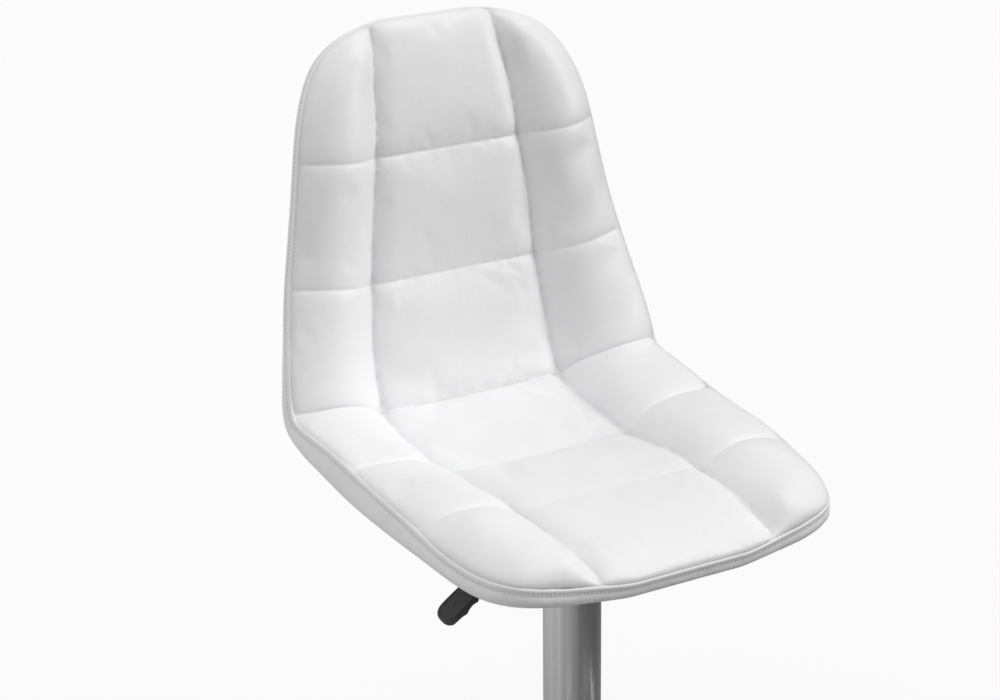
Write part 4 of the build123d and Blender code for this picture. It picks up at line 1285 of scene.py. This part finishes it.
# Turned aluminium: pale, with clear tool rings.
ALUMINIUM = Finish(
    "turned_aluminium", "#D2D3D5", "#B3B4B6", 1, 0.3, 0.07, Pattern.STREAKS_ROUND, 0.6, 0.02
)
# Turned brass: warm yellow, tool rings, slightly dulled.
BRASS = Finish(
    "turned_brass", "#C9A65A", "#A5823C", 1, 0.28, 0.07, Pattern.STREAKS_ROUND, 0.6, 0.02
)
# Cut polyurethane foam: open cells.
FOAM = Finish(
    "cut_polyurethane_foam", "#EFE3BE", "#D8C795", 0, 0.95, 0.03, Pattern.MOTTLE, 1.2, 0.4
)

CAD_FINISHES: dict[Finish, tuple[str, ...]] = {
    BRUSHED_TUBE: ("column_tube",),
    SPUN_STEEL: ("base_cover", "base_collar", "footrest_collar", "footrest_bow"),
    CHROME: ("inner_sleeve", "piston_rod"),
    ZINC: (
        "base_bolts",
        "base_washers",
        "retaining_clip",
        "footrest_screws",
        "pivot_pin",
        "lever_rod",
        "tee_nuts",
        "seat_screws",
        "seat_washers",
    ),
    BEARING_STEEL: ("lower_race", "bearing_balls", "upper_race", "valve_pin"),
    POWDER_COAT: (
        "column_flange",
        "foot_plate",
        "sleeve_cap",
        "mounting_plate",
        "mechanism_housing",
        "taper_hub",
        "pivot_fork",
        "lever_eye",
    ),
    ENAMEL: ("pressure_tube",),
    NYLON: ("guide_bush", "rod_gland", "lower_glide", "lever_grip"),
    POLYPROPYLENE: ("seat_shell",),
    RUBBER: ("floor_pad", "bump_stop", "piston_seal"),
    CAST_IRON: ("ballast_plate",),
    ALUMINIUM: ("piston",),
    BRASS: ("ball_cage", "valve_body"),
    FOAM: ("foam_pad",),
    LEATHER: ("quilted_cover", "rear_cover", "border_band"),
}


# ------------------------------------------------------------------ studio


@dataclass(frozen=True)
class Sun:
    """A soft distant lamp: where it stands, how wide it is in degrees and how strong."""

    name: str
    toward: tuple[float, float, float]
    spread: float
    power: float


@dataclass(frozen=True)
class Studio:
    """Pale floor, soft lights and the camera."""

    floor_half: float = 14.0
    shade_heading: tuple[float, float, float] = (-0.858, 0.513, 0)  # the way the floor's bounce brightens
    shade_range: tuple[float, float, float, float] = (-0.9, 1.5, 0.11, 0.7)  # from metres to greys
    glow_heading: tuple[float, float, float] = (-0.28, 0.13, 0.5)  # the surround's brightest side
    glow_range: tuple[float, float, float, float] = (-0.2, 0.6, 0.08, 0.84)
    suns: tuple[Sun, ...] = (
        Sun("key_light", (0.40, -0.42, 1.0), 30.0, 0.97),
        Sun("side_light", (1.0, -0.62, 0.42), 30.0, 1.25),
    )
    camera_place: tuple[float, float, float] = (-1.33021, -2.08809, 1.66276)
    camera_angles: tuple[float, float, float] = (30.8505, 20.2476, -0.5711)  # heading, dip and roll
    lens: float = 96.03

    def build(self) -> None:
        """Set up everything that isn't the stool."""
        self.floor()
        self.lights()
        self.camera()

    def slope(
        self,
        tree: bpy.types.NodeTree,
        place: bpy.types.NodeSocket,
        heading: tuple[float, float, float],
        limits: tuple[float, float, float, float],
    ) -> bpy.types.NodeSocket:
        """Make a grey that brightens along a heading.

        Args:
            tree: node tree that gets the nodes.
            place: place or direction that the grey depends on.
            heading: the way it brightens.
            limits: distances from and to, and greys from and to.

        Returns:
            The grey.
        """
        along = add_node(tree, "ShaderNodeVectorMath", {0: place, 1: heading}, operation="DOT_PRODUCT")
        steps = zip(("From Min", "From Max", "To Min", "To Max"), limits)
        ramp = {"Value": along.outputs["Value"], **dict(steps)}
        return add_node(tree, "ShaderNodeMapRange", ramp).outputs[0]

    def floor(self) -> None:
        """Lay a wide floor, pale to the eye and greyer in what it bounces back."""
        deselect_all()
        bpy.ops.mesh.primitive_plane_add(size=2 * self.floor_half, location=(0, 0, 0))
        floor = bpy.context.object
        floor.name = "studio_floor"
        material = bpy.data.materials.new("pale_studio_floor")
        material.use_nodes = True
        tree = material.node_tree
        tree.nodes.remove(tree.nodes["Principled BSDF"])
        seen = add_node(tree, "ShaderNodeBsdfDiffuse", {"Color": linear("#FDFDFD")}).outputs[0]
        place = add_node(tree, "ShaderNodeTexCoord").outputs["Object"]
        grey = self.slope(tree, place, self.shade_heading, self.shade_range)
        thrown = add_node(tree, "ShaderNodeBsdfDiffuse", {"Color": grey}).outputs[0]
        sight = add_node(tree, "ShaderNodeLightPath").outputs["Is Camera Ray"]
        both = add_node(tree, "ShaderNodeMixShader", {0: sight, 1: thrown, 2: seen}).outputs[0]
        tree.links.new(both, tree.nodes["Material Output"].inputs["Surface"])
        floor.data.materials.append(material)

    def lights(self) -> None:
        """Hang two wide, soft suns and a surround that is paler above and behind."""
        world = bpy.data.worlds.new("studio_surround")
        bpy.context.scene.world = world
        world.use_nodes = True
        tree = world.node_tree
        surround = tree.nodes["Background"]
        surround.inputs["Color"].default_value = linear("#FFFFFF")
        heading = add_node(tree, "ShaderNodeTexCoord").outputs["Generated"]
        level = self.slope(tree, heading, self.glow_heading, self.glow_range)
        sight = add_node(tree, "ShaderNodeLightPath").outputs["Is Camera Ray"]
        seen = add_node(tree, "ShaderNodeMix", {0: sight, 2: level, 3: 1.0}).outputs[0]
        tree.links.new(seen, surround.inputs["Strength"])
        for sun in self.suns:
            lamp = bpy.data.lights.new(sun.name, "SUN")
            lamp.angle, lamp.energy = math.radians(sun.spread), sun.power
            lamp_object = bpy.data.objects.new(sun.name, lamp)
            bpy.context.scene.collection.objects.link(lamp_object)
            lamp_object.rotation_euler = (-Vector(sun.toward)).to_track_quat("-Z", "Y").to_euler()
        bpy.context.scene.view_settings.view_transform = "Standard"

    def camera(self) -> None:
        """Stand the camera in front on the right hand of the sitter, a little above the back's top."""
        heading, dip, roll = (math.radians(angle) for angle in self.camera_angles)
        ahead = Vector((math.sin(heading), math.cos(heading), 0))
        look = ahead * math.cos(dip) - Vector((0, 0, math.sin(dip)))
        level = Vector((math.cos(heading), -math.sin(heading), 0))
        upright = level.cross(look)
        right = level * math.cos(roll) + upright * math.sin(roll)
        up = right.cross(look)
        turn = Matrix((right, up, -look)).transposed().to_4x4()
        data = bpy.data.cameras.new("camera")
        data.lens = self.lens
        data.sensor_width = 36.0
        camera = bpy.data.objects.new("camera", data)
        bpy.context.scene.collection.objects.link(camera)
        camera.matrix_world = Matrix.Translation(self.camera_place) @ turn
        bpy.context.scene.camera = camera


# ------------------------------------------------------------------ assembly


def dress(piece: bpy.types.Object, material: bpy.types.Material) -> None:
    """Give a piece one material."""
    piece.data.materials.clear()
    piece.data.materials.append(material)


def dress_cad_nodes(materials: dict[str, bpy.types.Material]) -> None:
    """Give every carried-over part its finish."""
    for finish, nodes in CAD_FINISHES.items():
        for node in nodes:
            part = frame["nodes"][node]
            if not part.material_slots:
                part.data.materials.append(materials[finish.name])
            for slot in part.material_slots:
                slot.material = materials[finish.name]


def upholster(materials: dict[str, bpy.types.Material]) -> None:
    """Build the leather pieces and their stitches, which ride with the seat."""
    layout = QuiltLayout()
    form = layout.form
    cover = QuiltedCover(layout).build()
    band = BorderBand(form).build()
    rear = RearCover(layout).build()
    covered = (
        (cover, ("quilted_cover", "foam_pad")),
        (band, ("border_band",)),
        (rear, ("rear_cover",)),
    )
    for piece, nodes in covered:
        dress(piece, materials[LEATHER.name])
        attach(piece, "seat")
        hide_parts(*nodes)
        log.info("%s: %d faces", piece.name, len(piece.data.polygons))
    across = []
    for line in layout.side_seams():
        whole = np.concatenate([(line * [1, -1])[::-1], line])
        across.append(form.seating(whole))
    quilting = Stitches().build("quilt_stitches", across, cover)
    edge = EdgeFrames(form)
    down, out = BorderBand.topstitch
    topstitch = edge.places + edge.away * down + edge.outward * out
    hem = Stitches().build("border_stitches", [np.concatenate([topstitch, topstitch[:1]])], band)
    for piece in (quilting, hem):
        dress(piece, materials[THREAD.name])
        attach(piece, "seat")
        log.info("%s: %d faces", piece.name, len(piece.data.polygons))


def fit_lever(materials: dict[str, bpy.types.Material]) -> None:
    """Put the moulded handle on the lift lever."""
    paddle = LeverPaddle().build()
    dress(paddle, materials[NYLON.name])
    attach(paddle, "lever")
    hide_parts("lever_grip")
    log.info("%s: %d faces", paddle.name, len(paddle.data.polygons))


def main() -> None:
    """Build the stool's looks and the studio round it."""
    logging.basicConfig(level=logging.INFO, format="%(message)s")
    finishes = [*CAD_FINISHES, THREAD]
    materials = {finish.name: finish.build() for finish in finishes}
    Studio().build()
    dress_cad_nodes(materials)
    upholster(materials)
    fit_lever(materials)


if __name__ == "__main__":
    main()
